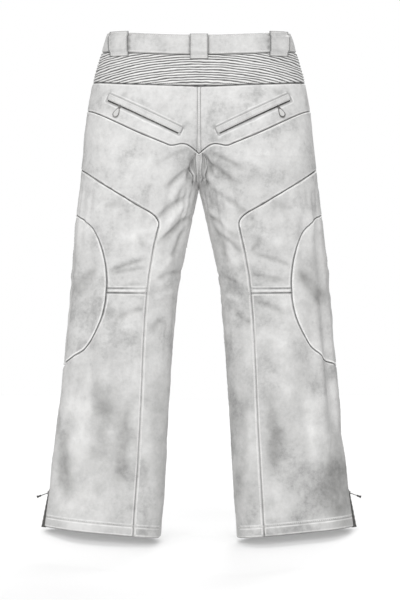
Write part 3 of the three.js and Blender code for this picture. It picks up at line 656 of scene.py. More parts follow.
def fabric_at(points):
    """The cloth's thickness: it is pared thin beside the zips."""
    return (FABRIC - PARED * bell(distances(opening_tree, points), 0, 9))[:, None]


# Where cloth is soiled, and at the crotch where shade is painted: how much on the left and the right, and the
# x and height of each, with its spread.
STAINS_AND_CROTCH_SHADE = [
    ({LEFT: 0.30, RIGHT: 0.95}, (284, 40), (112, 64)),
    ({LEFT: 0.40, RIGHT: 0.40}, (258, 28), (560, 60)),
    ({LEFT: 0.35, RIGHT: 0.0}, (190, 34), (250, 120)),
    ({LEFT: 0.22, RIGHT: 0.22}, (88, 24), (215, 130)),
    ({LEFT: 0.30, RIGHT: 0.0}, (215, 45), (230, 120)),
    # These last two rows are painted shade in the crotch's creases, not soil.
    ({LEFT: 0.7, RIGHT: 0.7}, (13, 8), (768, 28)),
    ({LEFT: 0.9, RIGHT: 0.9}, (11, 6), (750, 11)),
]


def wear_and_shading(gap, points, side):
    """How dark the painted shade and grime in a seam are, how bright its rubbed edges and painted highlights
    are, and how soiled the cloth is, with painted shade in its creases.
    """
    phi, h = unflat(points)
    p = body(phi, h, side)
    x = np.abs(p[:, 0])
    below_waist = h < OUTSEAM - BAND
    crease = strokes(p, side) * below_waist
    # Darker towards the bottom, and painted shade in the valleys of the creases.
    soil_and_shade = 0.30 * np.clip((720 - h) / 500, 0, 1) + 0.8 * np.clip(-crease / 4.2, 0, 1)
    if side == RIGHT:
        soil_and_shade += 0.16 * (h < 800)
    for share, (x0, x_spread), (h0, h_spread) in STAINS_AND_CROTCH_SHADE:
        soil_and_shade += share[side] * bell(h, h0, h_spread) * bell(x, x0, x_spread)
    leg_line, knee_line = leg_seam_at(x, h), bell(h, 520, 150) * bell(x, 225, 45)
    # The seam mask is painted shade in each seam's dip, with some grime; it is softer along the leg and knee
    # seams and near the welts.
    groove = bell(gap, 0, 1.35) * (1 - 0.72 * leg_line) * (1 - 0.35 * knee_line)
    groove *= 1 - 0.6 * bell(distances(welt_tree, points), 0, WELT_REACH)
    groove *= 1 - 0.5 * leg_line * np.clip(0.5 + 0.9 * soft_noise(p, (16, 16, 16), 12.0), 0, 1)
    # Lighter beside each seam, which is wear and painted highlight, and on the crests of the rolls, which is
    # painted highlight.
    rub_and_highlight = 0.7 * bell(gap, 3.0, 1.3) * below_waist + 0.35 * np.clip(crease / 4.0, 0, 1)
    return {"groove": groove, "rub_and_highlight": rub_and_highlight, "soil_and_shade": np.clip(soil_and_shade, 0, 1)}


def settle(points, side, lift=0.0, keep_groove=False, tree=None):
    """Places and normals on the finished cloth for flat points, raised by lift."""
    points = np.asarray(points, float)
    phi, h = unflat(points)
    rise, gap = relief(points, side, tree)
    if not keep_groove:
        rise = rise + GROOVE * bell(gap, 0, GROOVE_WIDTH)
    normal = outward(phi, h, side)
    return body(phi, h, side) + normal * (rise + lift)[..., None], normal


# ------------------------------------------------------------------ meshes
def make_piece(name, points, faces, looks, slot, node=None, rides="pants", indices=None, attributes=None,
               smooth=True):
    """A mesh piece in the row frame from points in millimetres."""
    mesh = bpy.data.meshes.new(name)
    places = np.asarray(points, float) / 1000 - np.array([0, 0, OUTSEAM / 1000])
    mesh.from_pydata(places.tolist(), [], [list(map(int, face)) for face in faces])
    for look in looks:
        mesh.materials.append(look)
    if indices is not None:
        mesh.polygons.foreach_set("material_index", np.asarray(indices, np.int32))
    mesh.polygons.foreach_set("use_smooth", [smooth] * len(faces))
    for key, values in (attributes or {}).items():
        layer = mesh.attributes.new(key, "FLOAT", "POINT")
        layer.data.foreach_set("value", np.asarray(values, np.float32))
    mesh.update()
    obj = add_object(name, mesh)
    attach(obj, rides)
    if node:
        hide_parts(node)
    return obj


def open_edges(faces):
    """The directed edges that only one face uses."""
    seen = {}
    for face in faces:
        for a, b in zip(face, (*face[1:], face[0])):
            seen[(a, b)] = True
    return [(a, b) for a, b in seen if (b, a) not in seen]


def thicken(name, outer, inner, faces, looks, slot, node, attributes=None, rides="pants"):
    """A closed sheet from its outer face, its lining's places, and the faces of the outer side."""
    n = len(outer)
    back = [tuple(i + n for i in face) for face in turned_over(faces)]
    rim = [(b, a, a + n, b + n) for a, b in open_edges(faces)]
    indices = [0] * len(faces) + [1] * len(back) + [0] * len(rim)
    values = {key: np.concatenate([v, v]) for key, v in (attributes or {}).items()}
    points = np.vstack([outer, inner])
    return make_piece(name, points, [*faces, *back, *rim], looks, slot, node, rides, indices, values)


def compact(points, faces):
    """Only the points that the faces use."""
    used = np.unique(np.array([i for face in faces for i in face]))
    marks = np.full(len(points), -1)
    marks[used] = np.arange(len(used))
    return points[used], [tuple(int(marks[i]) for i in face) for face in faces], used


def tube(line, normals, radius, sides=8):
    """Points and faces of a cord laid along a line, with domed ends."""
    line, normals = np.asarray(line), np.asarray(normals)
    tangent = np.gradient(line, axis=0)
    tangent /= np.linalg.norm(tangent, axis=1, keepdims=True)
    across = np.cross(normals, tangent)
    across /= np.linalg.norm(across, axis=1, keepdims=True)
    up = np.cross(tangent, across)
    turn = np.linspace(0, TURN, sides, endpoint=False)
    ring = np.cos(turn)[None, :, None] * across[:, None] + np.sin(turn)[None, :, None] * up[:, None]
    grow = np.ones(len(line))
    grow[0] = grow[-1] = 0.55
    points = line[:, None] + ring * (radius * grow)[:, None, None]
    faces = ring_faces(len(line), sides)
    faces.append(tuple(range(sides - 1, -1, -1)))
    faces.append(tuple(range((len(line) - 1) * sides, len(line) * sides)))
    return points.reshape(-1, 3), faces


def gather(parts):
    """One set of points and faces from several."""
    points, faces, start = [], [], 0
    for p, f in parts:
        points.append(p)
        faces.extend(tuple(i + start for i in face) for face in f)
        start += len(p)
    return np.vstack(points), faces


def length_along(places):
    """The distance along a line at each of its places."""
    return np.append(0, np.cumsum(np.linalg.norm(np.diff(places, axis=0), axis=1)))


def stitches(places, normals, length=3.1, gap=1.3, radius=0.42):
    """A row of thread stitches along places that lie closely on a line."""
    run = length_along(places)
    parts = []
    for start in np.arange(1.0, run[-1] - length - 1, length + gap):
        at = start + length * np.array([0, 0.12, 0.5, 0.88, 1.0])
        line = np.stack([np.interp(at, run, places[:, k]) for k in range(3)], axis=1)
        normal = np.stack([np.interp(at, run, normals[:, k]) for k in range(3)], axis=1)
        line = line + normal * np.array([-0.35, 0.12, 0.3, 0.12, -0.35])[:, None]
        parts.append(tube(line, normal, radius, sides=5))
    return parts


def sew_thread(name, parts, rides="pants"):
    return make_piece(name, *gather(parts), [thread], "shell_leather", rides=rides)


def eased(n):
    """Steps from 0 to 1 that are closer together at both ends."""
    return (1 - np.cos(np.linspace(0, math.pi, n + 1))) / 2 * 0.35 + np.linspace(0, 1, n + 1) * 0.65


def rim_shade(nu, nv):
    """1 along the rim of a pad's grid, 0 inside it."""
    shade = np.zeros((nu + 1, nv + 1))
    shade[1, :] = shade[-2, :] = shade[:, 1] = shade[:, -2] = 0.35
    shade[0, :] = shade[-1, :] = shade[:, 0] = shade[:, -1] = 1.0
    return shade.ravel()


def strip_wear_and_rim_shade(nu, nv):
    """A strip is a little worn and soiled all over, with painted shade along its rim."""
    shade = rim_shade(nu, nv)
    even = np.full(len(shade), 0.2)
    return {"rub_and_highlight": even, "groove": 0.6 * shade, "soil_and_shade": even}


def pad(place, nu, nv, low, high, edge=1.2):
    """A crowned strip over a unit square.

    place(s, t) gives points and normals; low and high may vary with t.
    """
    s, t = np.meshgrid(eased(nu), eased(nv), indexing="ij")
    points, normals = place(s.ravel(), t.ravel())
    rim = np.minimum.reduce([s, 1 - s, t, 1 - t]).ravel()
    low = low(t.ravel()) if callable(low) else np.full(rim.shape, float(low))
    high = high(t.ravel()) if callable(high) else np.full(rim.shape, float(high))
    crown = edge * np.exp(-((rim * 14) ** 2))
    top = points + normals * (high - crown)[:, None]
    bottom = points + normals * low[:, None]
    faces = grid_faces(nu + 1, nv + 1)
    a, b, c, _ = faces[len(faces) // 2]
    if np.dot(np.cross(top[b] - top[a], top[c] - top[b]), normals[a]) < 0:
        faces = turned_over(faces)
    return top, bottom, faces


# ------------------------------------------------------------------ materials
class Look:
    """A node material under construction."""

    def __init__(self, name, **fixed):
        self.material = bpy.data.materials.new(name)
        self.material.use_nodes = True
        self.tree = self.material.node_tree
        self.shader = self.tree.nodes["Principled BSDF"]
        for key, value in fixed.items():
            self.shader.inputs[key.replace("_", " ")].default_value = value
        self.coords = self.add("ShaderNodeTexCoord").outputs["Object"]

    def add(self, kind, **values):
        node = self.tree.nodes.new(kind)
        for key, value in values.items():
            if hasattr(node, key):
                setattr(node, key, value)
            else:
                node.inputs[key.replace("_", " ")].default_value = value
        return node

    def link(self, a, b):
        self.tree.links.new(a, b)

    def noise(self, scale, detail=3.0, rough=0.55, stretch=None):
        node = self.add("ShaderNodeTexNoise", Scale=scale, Detail=detail, Roughness=rough)
        at = self.coords
        if stretch:
            mapping = self.add("ShaderNodeMapping")
            mapping.inputs["Scale"].default_value = stretch
            self.link(at, mapping.inputs["Vector"])
            at = mapping.outputs["Vector"]
        self.link(at, node.inputs["Vector"])
        return node.outputs["Fac"]

    def cells(self, scale):
        node = self.add("ShaderNodeTexVoronoi", Scale=scale, feature="DISTANCE_TO_EDGE")
        self.link(self.coords, node.inputs["Vector"])
        return node.outputs["Distance"]

    def ramp(self, value, stops):
        node = self.add("ShaderNodeValToRGB")
        ramp = node.color_ramp
        while len(ramp.elements) < len(stops):
            ramp.elements.new(0.5)
        for element, (at, colour) in zip(ramp.elements, stops):
            element.position = at
            element.color = (*colour, 1) if isinstance(colour, tuple) else (colour, colour, colour, 1)
        self.link(value, node.inputs["Fac"])
        return node.outputs["Color"]

    def plug(self, socket, value):
        """Feeds a socket from another socket, a colour or a number."""
        if isinstance(value, bpy.types.NodeSocket):
            self.link(value, socket)
        else:
            socket.default_value = (*value, 1) if isinstance(value, tuple) else value

    def mix(self, factor, a, b, kind="MIX"):
        node = self.add("ShaderNodeMix", data_type="RGBA", blend_type=kind)
        for index, value in ((0, factor), (6, a), (7, b)):
            self.plug(node.inputs[index], value)
        return node.outputs[2]

    def math(self, kind, a, b):
        node = self.add("ShaderNodeMath", operation=kind)
        for socket, value in zip(node.inputs, (a, b)):
            self.plug(socket, value)
        return node.outputs[0]

    def patchy(self, name, scale, detail, *stops):
        """An attribute of the cloth, broken up by noise."""
        return self.math("MULTIPLY", self.attribute(name), self.ramp(self.noise(scale, detail), stops))

    def attribute(self, name):
        return self.add("ShaderNodeAttribute", attribute_name=name).outputs["Fac"]

    def colour(self, socket):
        self.link(socket, self.shader.inputs["Base Color"])

    def roughness(self, value, low, high):
        node = self.add("ShaderNodeMapRange")
        node.inputs["To Min"].default_value = low
        node.inputs["To Max"].default_value = high
        self.link(value, node.inputs["Value"])
        self.link(node.outputs["Result"], self.shader.inputs["Roughness"])

    def bumps(self, *layers):
        """Bump from (height, strength, distance in metres) layers."""
        last = None
        for height, strength, distance in layers:
            node = self.add("ShaderNodeBump", Strength=strength, Distance=distance)
            self.link(height, node.inputs["Height"])
            if last:
                self.link(last, node.inputs["Normal"])
            last = node.outputs["Normal"]
        self.link(last, self.shader.inputs["Normal"])


def leather_look(name, light, dark, seam_shade_tone=(0.10, 0.10, 0.099)):
    """Washed leather-look cloth: cloudy, lighter where rubbed and where highlight is painted, and darker
    where soiled and where shade is painted in its creases and seams.
    """
    look = Look(name, Specular_IOR_Level=0.30)
    clouds = look.ramp(look.noise(6.0, 4, 0.60, (1, 1, 0.62)), [(0.34, 0.0), (0.66, 1.0)])
    patches = look.ramp(look.noise(21, 5, 0.66), [(0.34, 0.0), (0.66, 1.0)])
    specks = look.ramp(look.noise(150, 4, 0.75), [(0.30, 0.0), (0.62, 1.0)])
    wash = look.mix(0.50, clouds, patches)
    wash = look.mix(0.20, wash, specks)
    middle = tuple((a + 2 * b) / 3 for a, b in zip(dark, light))
    tone = look.ramp(wash, [(0.0, dark), (0.45, middle), (0.85, light)])
    # Rubbed wear with painted highlight lightens the tone; soil with painted shade in the creases darkens it.
    rub_and_highlight = look.patchy("rub_and_highlight", 45, 3, (0.25, 0.25), (0.65, 1.0))
    soil_and_shade = look.patchy("soil_and_shade", 16, 4, (0.3, 0.35), (0.65, 1.0))
    tone = look.mix(soil_and_shade, tone, SOIL_AND_SHADE_TONE, "MULTIPLY")
    tone = look.mix(rub_and_highlight, tone, RUB_AND_HIGHLIGHT_TONE)
    # Painted shade, with some grime, in seams, rib valleys and along rims, from the groove mask.
    seam_shade_and_grime = look.patchy("groove", 80, 3, (0.2, 0.65), (0.6, 1.0))
    look.colour(look.mix(seam_shade_and_grime, tone, seam_shade_tone))
    look.roughness(look.noise(45, 4, 0.6), 0.42, 0.70)
    look.bumps(
        (look.noise(38, 4, 0.6), 0.35, 0.0018),
        (look.noise(160, 3, 0.6), 0.30, 0.0007),
        (look.cells(1100), 0.16, 0.0003),
    )
    return look.material


def woven_look(name, colour, darker, scale=900.0, rough=(0.75, 0.95)):
    look = Look(name, Sheen_Weight=0.25)
    warp = look.add("ShaderNodeTexWave", Scale=scale, wave_type="BANDS", bands_direction="X", Distortion=1.0)
    weft = look.add("ShaderNodeTexWave", Scale=scale, wave_type="BANDS", bands_direction="Z", Distortion=1.0)
    for wave in (warp, weft):
        look.link(look.coords, wave.inputs["Vector"])
    weave = look.math("MULTIPLY", warp.outputs["Fac"], weft.outputs["Fac"])
    uneven = look.noise(30, 4)
    base = look.ramp(uneven, [(0.3, darker), (0.7, colour)])
    look.colour(look.mix(look.math("MULTIPLY", weave, 0.5), base, colour))
    look.roughness(uneven, *rough)
    look.bumps((uneven, 0.3, 0.001), (weave, 0.4, 0.0003))
    return look.material


def metal_look(name, colour, worn):
    look = Look(name, Metallic=1.0)
    tarnish = look.noise(420, 4, 0.65)
    look.colour(look.ramp(tarnish, [(0.35, colour), (0.75, worn)]))
    look.roughness(look.noise(900, 3), 0.22, 0.5)
    look.bumps((look.noise(1500, 2), 0.15, 0.0002))
    return look.material


# Tones for soil with painted shade, and for wear with painted highlight.
SOIL_AND_SHADE_TONE, RUB_AND_HIGHLIGHT_TONE = (0.42, 0.42, 0.415), (0.80, 0.797, 0.79)
leather = leather_look("washed_leather_look", (0.62, 0.617, 0.611), (0.25, 0.25, 0.248))
# Its near-black seam tone is painted shade in the rib valleys.
rib_leather = leather_look(
    "ribbed_leather_look", (0.64, 0.637, 0.63), (0.40, 0.397, 0.392), (0.025, 0.025, 0.025)
)
lining = woven_look("lining_weave", (0.66, 0.655, 0.64), (0.50, 0.495, 0.485))
thread = woven_look("seam_thread", (0.78, 0.775, 0.76), (0.60, 0.59, 0.58), 2600.0)
tape_cloth = woven_look("zip_tape_weave", (0.075, 0.073, 0.07), (0.04, 0.04, 0.038), 1500.0)
metal = metal_look("dark_nickel", (0.10, 0.098, 0.095), (0.30, 0.295, 0.29))
enamel = woven_look("dark_rubber", (0.022, 0.022, 0.021), (0.014, 0.014, 0.013), 800.0, (0.4, 0.6))
inlay = leather_look("inlay_leather", (0.50, 0.497, 0.49), (0.40, 0.397, 0.392))
gripper = woven_look("gripper_elastic", (0.82, 0.81, 0.79), (0.66, 0.65, 0.63), 500.0)
LINED = [leather, lining]


# ------------------------------------------------------------------ shell panels
PANEL_PROBES = {
    "back_yoke": (BACK, 110, 930),
    "back_seat": (BACK, 60, 780),
    "back_thigh": (BACK, 150, 640),
    "back_calf": (BACK, 170, 300),
    "knee_panel": (BACK, 240, 520),
    "front_thigh": (FRONT, 120, 780),
    "front_shin": (FRONT, 170, 200),
}


def panel_faces(cloth, faces, label, face, x, h):
    """The faces of the panel that holds a place on the back or the front."""
    x, h = np.array([x], float), np.array([h], float)
    centres = cloth[np.array(faces)].mean(axis=1)
    nearest = int(np.argmin(((centres - flat(phi_of(face, x, h), h)) ** 2).sum(axis=1)))
    return [faces[k] for k in np.flatnonzero(label == label[nearest])]


def sew_shell():
    cloth, faces, fixed = cut_cloth()
    label = spread(faces, fixed)
    for base, probe in PANEL_PROBES.items():
        points, part, _ = compact(cloth, panel_faces(cloth, faces, label, *probe))
        gap = distances(full_tree, points)
        for side, word in SIDES.items():
            name = f"{base}_{word}"
            outer, normal = settle(points, side, keep_groove=True)
            inner = outer - normal * fabric_at(points)
            thicken(f"cloth_{name}", outer, inner, part if side == RIGHT else turned_over(part), LINED,
                    "shell_leather", name, wear_and_shading(gap, points, side))
    points, part, _ = compact(cloth, panel_faces(cloth, faces, label, BACK, 60, OUTSEAM - 26))
    sew_waistband(points, part)


def sew_waistband(points, part):
    """The two halves of the waistband joined at the middle of the back."""
    outers, inners, faces = [], [], []
    n = len(points)
    for side in (RIGHT, LEFT):
        outer, normal = settle(points, side, keep_groove=True, tree=waist_tree)
        start = n * len(outers)
        outers.append(outer)
        inners.append(outer - normal * FABRIC)
        faces += [tuple(i + start for i in face) for face in (part if side == RIGHT else turned_over(part))]
    outer, inner = np.vstack(outers), np.vstack(inners)
    gap = np.tile(distances(waist_tree, points), 2)
    phi, _ = unflat(points)
    middle = np.flatnonzero(phi < 1e-3)
    marks = np.arange(2 * n)
    marks[middle + n] = middle
    faces = [tuple(int(marks[i]) for i in face) for face in faces]
    outer[middle, 0] = inner[middle, 0] = 0
    kept, faces, used = compact(outer, faces)
    worn = {key: value[used] for key, value in wear_and_shading(gap, np.vstack([points, points]), RIGHT).items()}
    # Painted shade in the band's seams, a little weaker, and the whole band a little darker.
    worn["groove"] = worn["groove"] * 0.7
    worn["soil_and_shade"] = worn["soil_and_shade"] + 0.20
    # Painted shadow on the band beside each belt loop.
    for face, x in LOOPS.values():
        loop_side_shadow = bell(np.abs(kept[:, 0] - x) - LOOP_WIDTH / 2, 0.8, 1.6)
        worn["groove"] = np.maximum(worn["groove"], 0.6 * loop_side_shadow * (kept[:, 1] * face > 0))
    thicken("cloth_waistband", kept, inner[used], faces, LINED, "shell_leather", "waistband", worn)


def rib_column(share, levels, low_line, high_line):
    """One column of the rib panel, at a share of the way from the middle to the side seam.

    Gives its points and normals, their heights, and how deep in a valley or high on a crest each lies.
    """
    phi, side = abs(share) * math.pi, RIGHT if share >= 0 else LEFT
    h = levels.copy()
    for _ in range(5):
        at = np.abs(body(phi, h, 1)[..., 0])
        floor = np.interp(at, *low_line)
        roof = np.interp(at, *high_line)
        h = np.clip(levels - RIB_ARCH * at**2, floor, roof)
    edge = np.minimum(h - floor, roof - h)
    at = body(phi, h, side)
    drift = 1.5 * soft_noise(at, (42, 42, 8), 7.0) + 0.8 * soft_noise(at, (13, 13, 9), 8.0)
    wave = np.abs(np.sin(np.pi * (levels + drift) / RIB_PITCH)) ** 0.75
    swell = 0.75 + 0.5 * soft_noise(at, (30, 30, 9), 9.0)
    rise = RIB_HEIGHT * swell * (wave - 0.6) + 1.0 * (1 - np.exp(-edge / 6)) - 2.2 * bell(edge, 0, 1.6)
    rise -= 2.2 * bell((1 - abs(share)) * 200, 0, 1.6)
    valley = np.maximum(np.clip(1.55 - wave * 1.6, 0, 1), bell(edge, 0, 1.6))
    normal = outward(np.full_like(h, phi), h, side)
    return at + normal * rise[:, None], normal, h, valley, np.clip(wave * 3 - 2.2, 0, 1)


def sew_ribs():
    """The stretch panel under the waistband: arched ribs between its lower seam and the band."""
    half = np.linspace(0, 1, 90)
    shares = np.concatenate([-half[:0:-1], half])
    levels = np.arange(940.0, 1053.0, 0.6)
    low_line, high_line = spline(BACK_SEAMS["rib"], 1.0), band_seam(BACK)
    low_line = low_line[np.argsort(low_line[:, 0])]
    columns = [rib_column(share, levels, low_line.T, high_line.T) for share in shares]
    outer, normal, height, valley, crest = (np.concatenate(parts) for parts in zip(*columns))
    faces = []
    for a, b, c, d in grid_faces(len(columns), len(levels)):
        left, right = height[d] - height[a] > 1e-6, height[c] - height[b] > 1e-6
        if left and right:
            faces.append((a, b, c, d))
        elif left:
            faces.append((a, b, d))
        elif right:
            faces.append((a, b, c))
    kept, faces, used = weld(outer, faces)
    # Painted shade in the rib valleys and along the rims, and painted highlight on the crests.
    thicken("cloth_rib_panel", kept, kept - normal[used] * FABRIC, faces, [rib_leather, lining],
            "ribbed_stretch", "rib_panel_back", {"groove": valley[used], "rub_and_highlight": crest[used] * 0.8})


def weld(points, faces, within=1e-4):
    """Points that coincide become one, and faces that collapse are dropped."""
    keys = np.round(points / within).astype(np.int64)
    _, first, marks = np.unique(keys, axis=0, return_index=True, return_inverse=True)
    marks = marks.reshape(-1)
    new_faces = []
    for face in faces:
        ring = []
        for i in face:
            k = int(marks[i])
            if not ring or ring[-1] != k:
                ring.append(k)
        if len(ring) > 1 and ring[0] == ring[-1]:
            ring.pop()
        if len(ring) >= 3:
            new_faces.append(tuple(ring))
    used = np.unique(np.array([i for f in new_faces for i in f]))
    order = np.full(len(first), -1)
    order[used] = np.arange(len(used))
    return points[first[used]], [tuple(int(order[i]) for i in f) for f in new_faces], first[used]


# ------------------------------------------------------------------ piping and stitching
def lay(name, lines, radius, lift=0.0):
    """Piping along flat lines on both sides of the garment, as one piece."""
    parts = []
    for side in SIDES:
        for line in lines:
            places, normals = settle(resample(line, 2.5), side, lift)
            parts.append(tube(places, normals, radius))
    points, faces = gather(parts)
    # The piping is lightened all over: wear and painted highlight.
    rub_and_highlight = np.full(len(points), 0.75)
    make_piece(name, points, faces, [leather], "shell_leather", attributes={"rub_and_highlight": rub_and_highlight})


def stitch_rows(name, rows, tree=None):
    """Stitches beside flat lines: rows holds (line, distance to the side)."""
    parts = []
    for side in SIDES:
        for line, gap in rows:
            places, normals = settle(beside(line, gap), side, 0.15, keep_groove=True, tree=tree)
            parts += stitches(places, normals)
    sew_thread(name, parts)


def part_of(line, low, high):
    """The part of a flat line between two heights."""
    return line[(line[:, 1] >= low) & (line[:, 1] <= high)]


def sew_trim():
    lay("piping_hip", [beside(seams["hip"], 2.3)], 1.5)
    lay("piping_thigh", [beside(seams["thigh"], 2.3)], 1.35, -0.2)
    lay("piping_knee", [beside(seams["knee"], 2.2)], 1.3, -0.2)
    lay("piping_front", [beside(seams[name], 2.2) for name in FRONT_SEAMS], 1.3, -0.2)
    leg_seam = part_of(seams["leg"], 10, 645)
    stitch_rows("stitches_back", [
        (seams["hip"], 3.6), (seams["thigh"], 3.6), (leg_seam, 3.2), (leg_seam, -3.2), (seams["knee"], 3.4),
        (seams["tuck"], 3.0), (seams["tuck"], -5.0), (part_of(middle_back, CROTCH + 8, 943), 1.7),
        (seams["rib"], -3.2),
    ])
    hem_row = flat(hem_phi[4:-4], hem_height(hem_phi[4:-4]) + HEM_FOLD + 1)
    stitch_rows("stitches_hem", [(hem_row[hem_row[:, 0] < -9], 0.0), (hem_row[hem_row[:, 0] > 9], 0.0)])
    stitch_rows("stitches_front", [
        (seams["front_knee_top"], 3.4), (seams["front_knee_foot"], -3.4),
        (part_of(middle_front, CROTCH + 20, FLY_FOOT - 8), -3.2),
    ])
    stitch_rows("stitches_band", [
        (seams["band_back"], 3.0), (seams["band_front"], -3.0), (borders["top"], -3.2),
    ], tree=waist_tree)


# ------------------------------------------------------------------ belt loops and pockets
def on_cloth(face, x, h, rise=0.9):
    """Points and normals where x and height h meet the garment's back or front.

    They stand off the smooth body by rise, or by its folds and a little more where rise is None.
    """
    x, h = np.broadcast_arrays(np.asarray(x, float), np.asarray(h, float))
    points, normals = np.zeros((x.size, 3)), np.zeros((x.size, 3))
    for side in SIDES:
        mine = (x < 0) if side == LEFT else (x >= 0)
        if not mine.any():
            continue
        phi = phi_of(face, np.abs(x[mine]), h[mine])
        normal = outward(phi, h[mine], side)
        lift = folds(phi, h[mine], side) + 1.5 if rise is None else np.full(mine.sum(), rise)
        points[mine] = body(phi, h[mine], side) + normal * lift[:, None]
        normals[mine] = normal
    return points, normals


def sew_belt_loop(name, face, x):
    """A belt loop that stands off the band between its two sewn ends."""
    top = top_edge(face, x) + 1

    def place(s, t):
        return on_cloth(face, x + (s - 0.5) * LOOP_WIDTH, top - LOOP_HEIGHT * (1 - t))

    def low(t):
        foot = np.clip((np.minimum(t, 1 - t) - 0.11) / 0.16, 0, 1)
        return 1.3 + 5.4 * foot**2 * (3 - 2 * foot)

    outer, inner, faces = pad(place, 14, 44, low, lambda t: low(t) + FABRIC, 1.3)
    # Painted shade along the loop's rim.
    thicken(f"cloth_{name}", outer, inner, faces, LINED, "shell_leather", name,
            {"soil_and_shade": np.full(len(outer), 0.25), "groove": rim_shade(14, 44)})
    rows = []
    for s in (0.1, 0.9):
        t = np.linspace(0.02, 0.98, 60)
        places, normals = place(np.full_like(t, s), t)
        rows += stitches(places + normals * (low(t) + 2.55)[:, None], normals, 2.6, 1.1, 0.4)
    for t in (0.055, 0.085, 0.925, 0.955):
        s = np.linspace(0.08, 0.92, 40)
        places, normals = place(s, np.full_like(s, t))
        rows += stitches(places + normals * 2.75, normals, 2.2, 0.5, 0.45)
    sew_thread(f"stitches_{name}", rows)


def strip_beside(face, side, ends, low, high, past=0.0, rise=0.9):
    """place(s, t) for a strip beside a pocket line: s runs along it and t across it."""
    a, b, up = ends_beyond(ends, past)

    def place(s, t):
        at = a + np.outer(s, b - a) + np.outer(low + (high - low) * t, up)
        return on_cloth(face, side * at[:, 0], at[:, 1], rise)

    return place


def sew_strip(name, place, grid, low, high, node, rows=(), edge=1.0, rides="pants"):
    """A strip of cloth with rows of stitches along it, each at a share of its width."""
    outer, inner, faces = pad(place, *grid, low, high, edge)
    thicken(name, outer, inner, faces, LINED, "shell_leather", node, strip_wear_and_rim_shade(*grid), rides)
    parts = []
    for across in rows:
        s = np.linspace(0.02, 0.98, 120)
        places, normals = place(s, np.full_like(s, across))
        level = float(high(across)) if callable(high) else high
        parts += stitches(places + normals * (level + 0.05), normals, 2.8, 1.2, 0.4)
    sew_thread(f"stitches_{node}", parts, rides)


def lip(t):
    """A back welt's height: thin at the zip, so that the pull can swing up over it."""
    return 0.45 + 1.65 * np.clip((t - 0.1) / 0.14, 0, 1)


def sew_pockets():
    for side, word in SIDES.items():
        welt = strip_beside(BACK, side, BACK_ZIP, 1.9, 15.8, 6.0, 0.2)
        sew_strip(f"cloth_back_welt_{word}", welt, (60, 14), 0.0, lip, f"back_pocket_{word}_welt",
                  (0.82, 0.24), 0.4)
        welt = strip_beside(FRONT, side, FRONT_POCKET, -7.0, 7.0, rise=None)
        sew_strip(f"cloth_front_welt_{word}", welt, (36, 10), 0.2, 2.9, f"front_pocket_{word}_welt",
                  (0.82, 0.18))
        sew_bag(f"bag_back_{word}", BACK, side, (50, 178), (770, 905), -15.5, f"back_pocket_{word}_bag")
        sew_bag(f"bag_front_{word}", FRONT, side, (105, 195), (800, 960), -9.0, f"front_pocket_{word}_bag")


def sew_bag(name, face, side, xs, hs, low, node):
    """A pocket bag between two distances from the middle and two heights."""
    def place(s, t):
        x = xs[0] + (xs[1] - xs[0]) * s
        points, normals = on_cloth(face, side * x, hs[0] + (hs[1] - hs[0]) * t)
        ripple = 0.8 * soft_noise(points, (24, 24, 30), 8.0)
        return points + normals * (ripple - 0.9)[:, None], normals

    outer, inner, faces = pad(place, 26, 30, low, low + 2.4, 0.9)
    thicken(name, outer, inner, faces, [lining, lining], "lining_fabric", node)


# ------------------------------------------------------------------ zips
def arc_zip(side):
    """Points and outward directions along a back pocket's zip: the arc through its line's ends and middle."""
    (x0, h0), (x1, h1) = BACK_ZIP
    t = np.array([0, 0.5, 1.0])
    x, h = x0 + (x1 - x0) * t, h0 + (h1 - h0) * t
    phi = phi_of(BACK, x, h)
    a, b, c = body(phi, h, side) - TAPE_DEPTH * outward(phi, h, side)
    ab, ac = b - a, c - a
    axis = np.cross(ab, ac)
    to_centre = np.cross(axis, ab) * (ac @ ac) + np.cross(ac, axis) * (ab @ ab)
    centre = a + to_centre / (2 * axis @ axis)
    axis /= np.linalg.norm(axis)
    start, middle = a - centre, b - centre
    sweep = 2 * math.acos(start @ middle / (np.linalg.norm(start) * np.linalg.norm(middle)))
    turn = np.linspace(0, sweep, 120)[:, None]
    spoke = start * np.cos(turn) + np.cross(axis, start) * np.sin(turn)
    return centre + spoke, spoke / np.linalg.norm(spoke, axis=1, keepdims=True)


def straight_zip(start, end, facing, count):
    """Points along a straight zip, and the direction square to it that is nearest to the facing one."""
    line = start + (end - start) * np.linspace(0, 1, count)[:, None]
    travel = (end - start) / np.linalg.norm(end - start)
    out = facing - travel * (travel @ facing)
    return line, np.tile(out / np.linalg.norm(out), (count, 1))


def zip_line(name):
    """Points and outward directions along a zip's middle."""
    side = LEFT if name.endswith("left") else RIGHT
    if name.startswith("back_pocket"):
        return arc_zip(side)
    if name.startswith("ankle"):
        ends = [np.array([side * (float(outer_edge(h)) - TAPE_DEPTH), 0, h]) for h in ANKLE_ZIP]
        return straight_zip(*ends, np.array([side, 0, 0]), 60)
    h = np.array(FLY_ZIP)
    phi = phi_of(FRONT, 0.0, h)
    ends = body(phi, h, 1) - TAPE_DEPTH * outward(phi, h, 1)
    ends[:, 0] = 0
    return straight_zip(*ends, np.array([0, 1, 0]), 100)


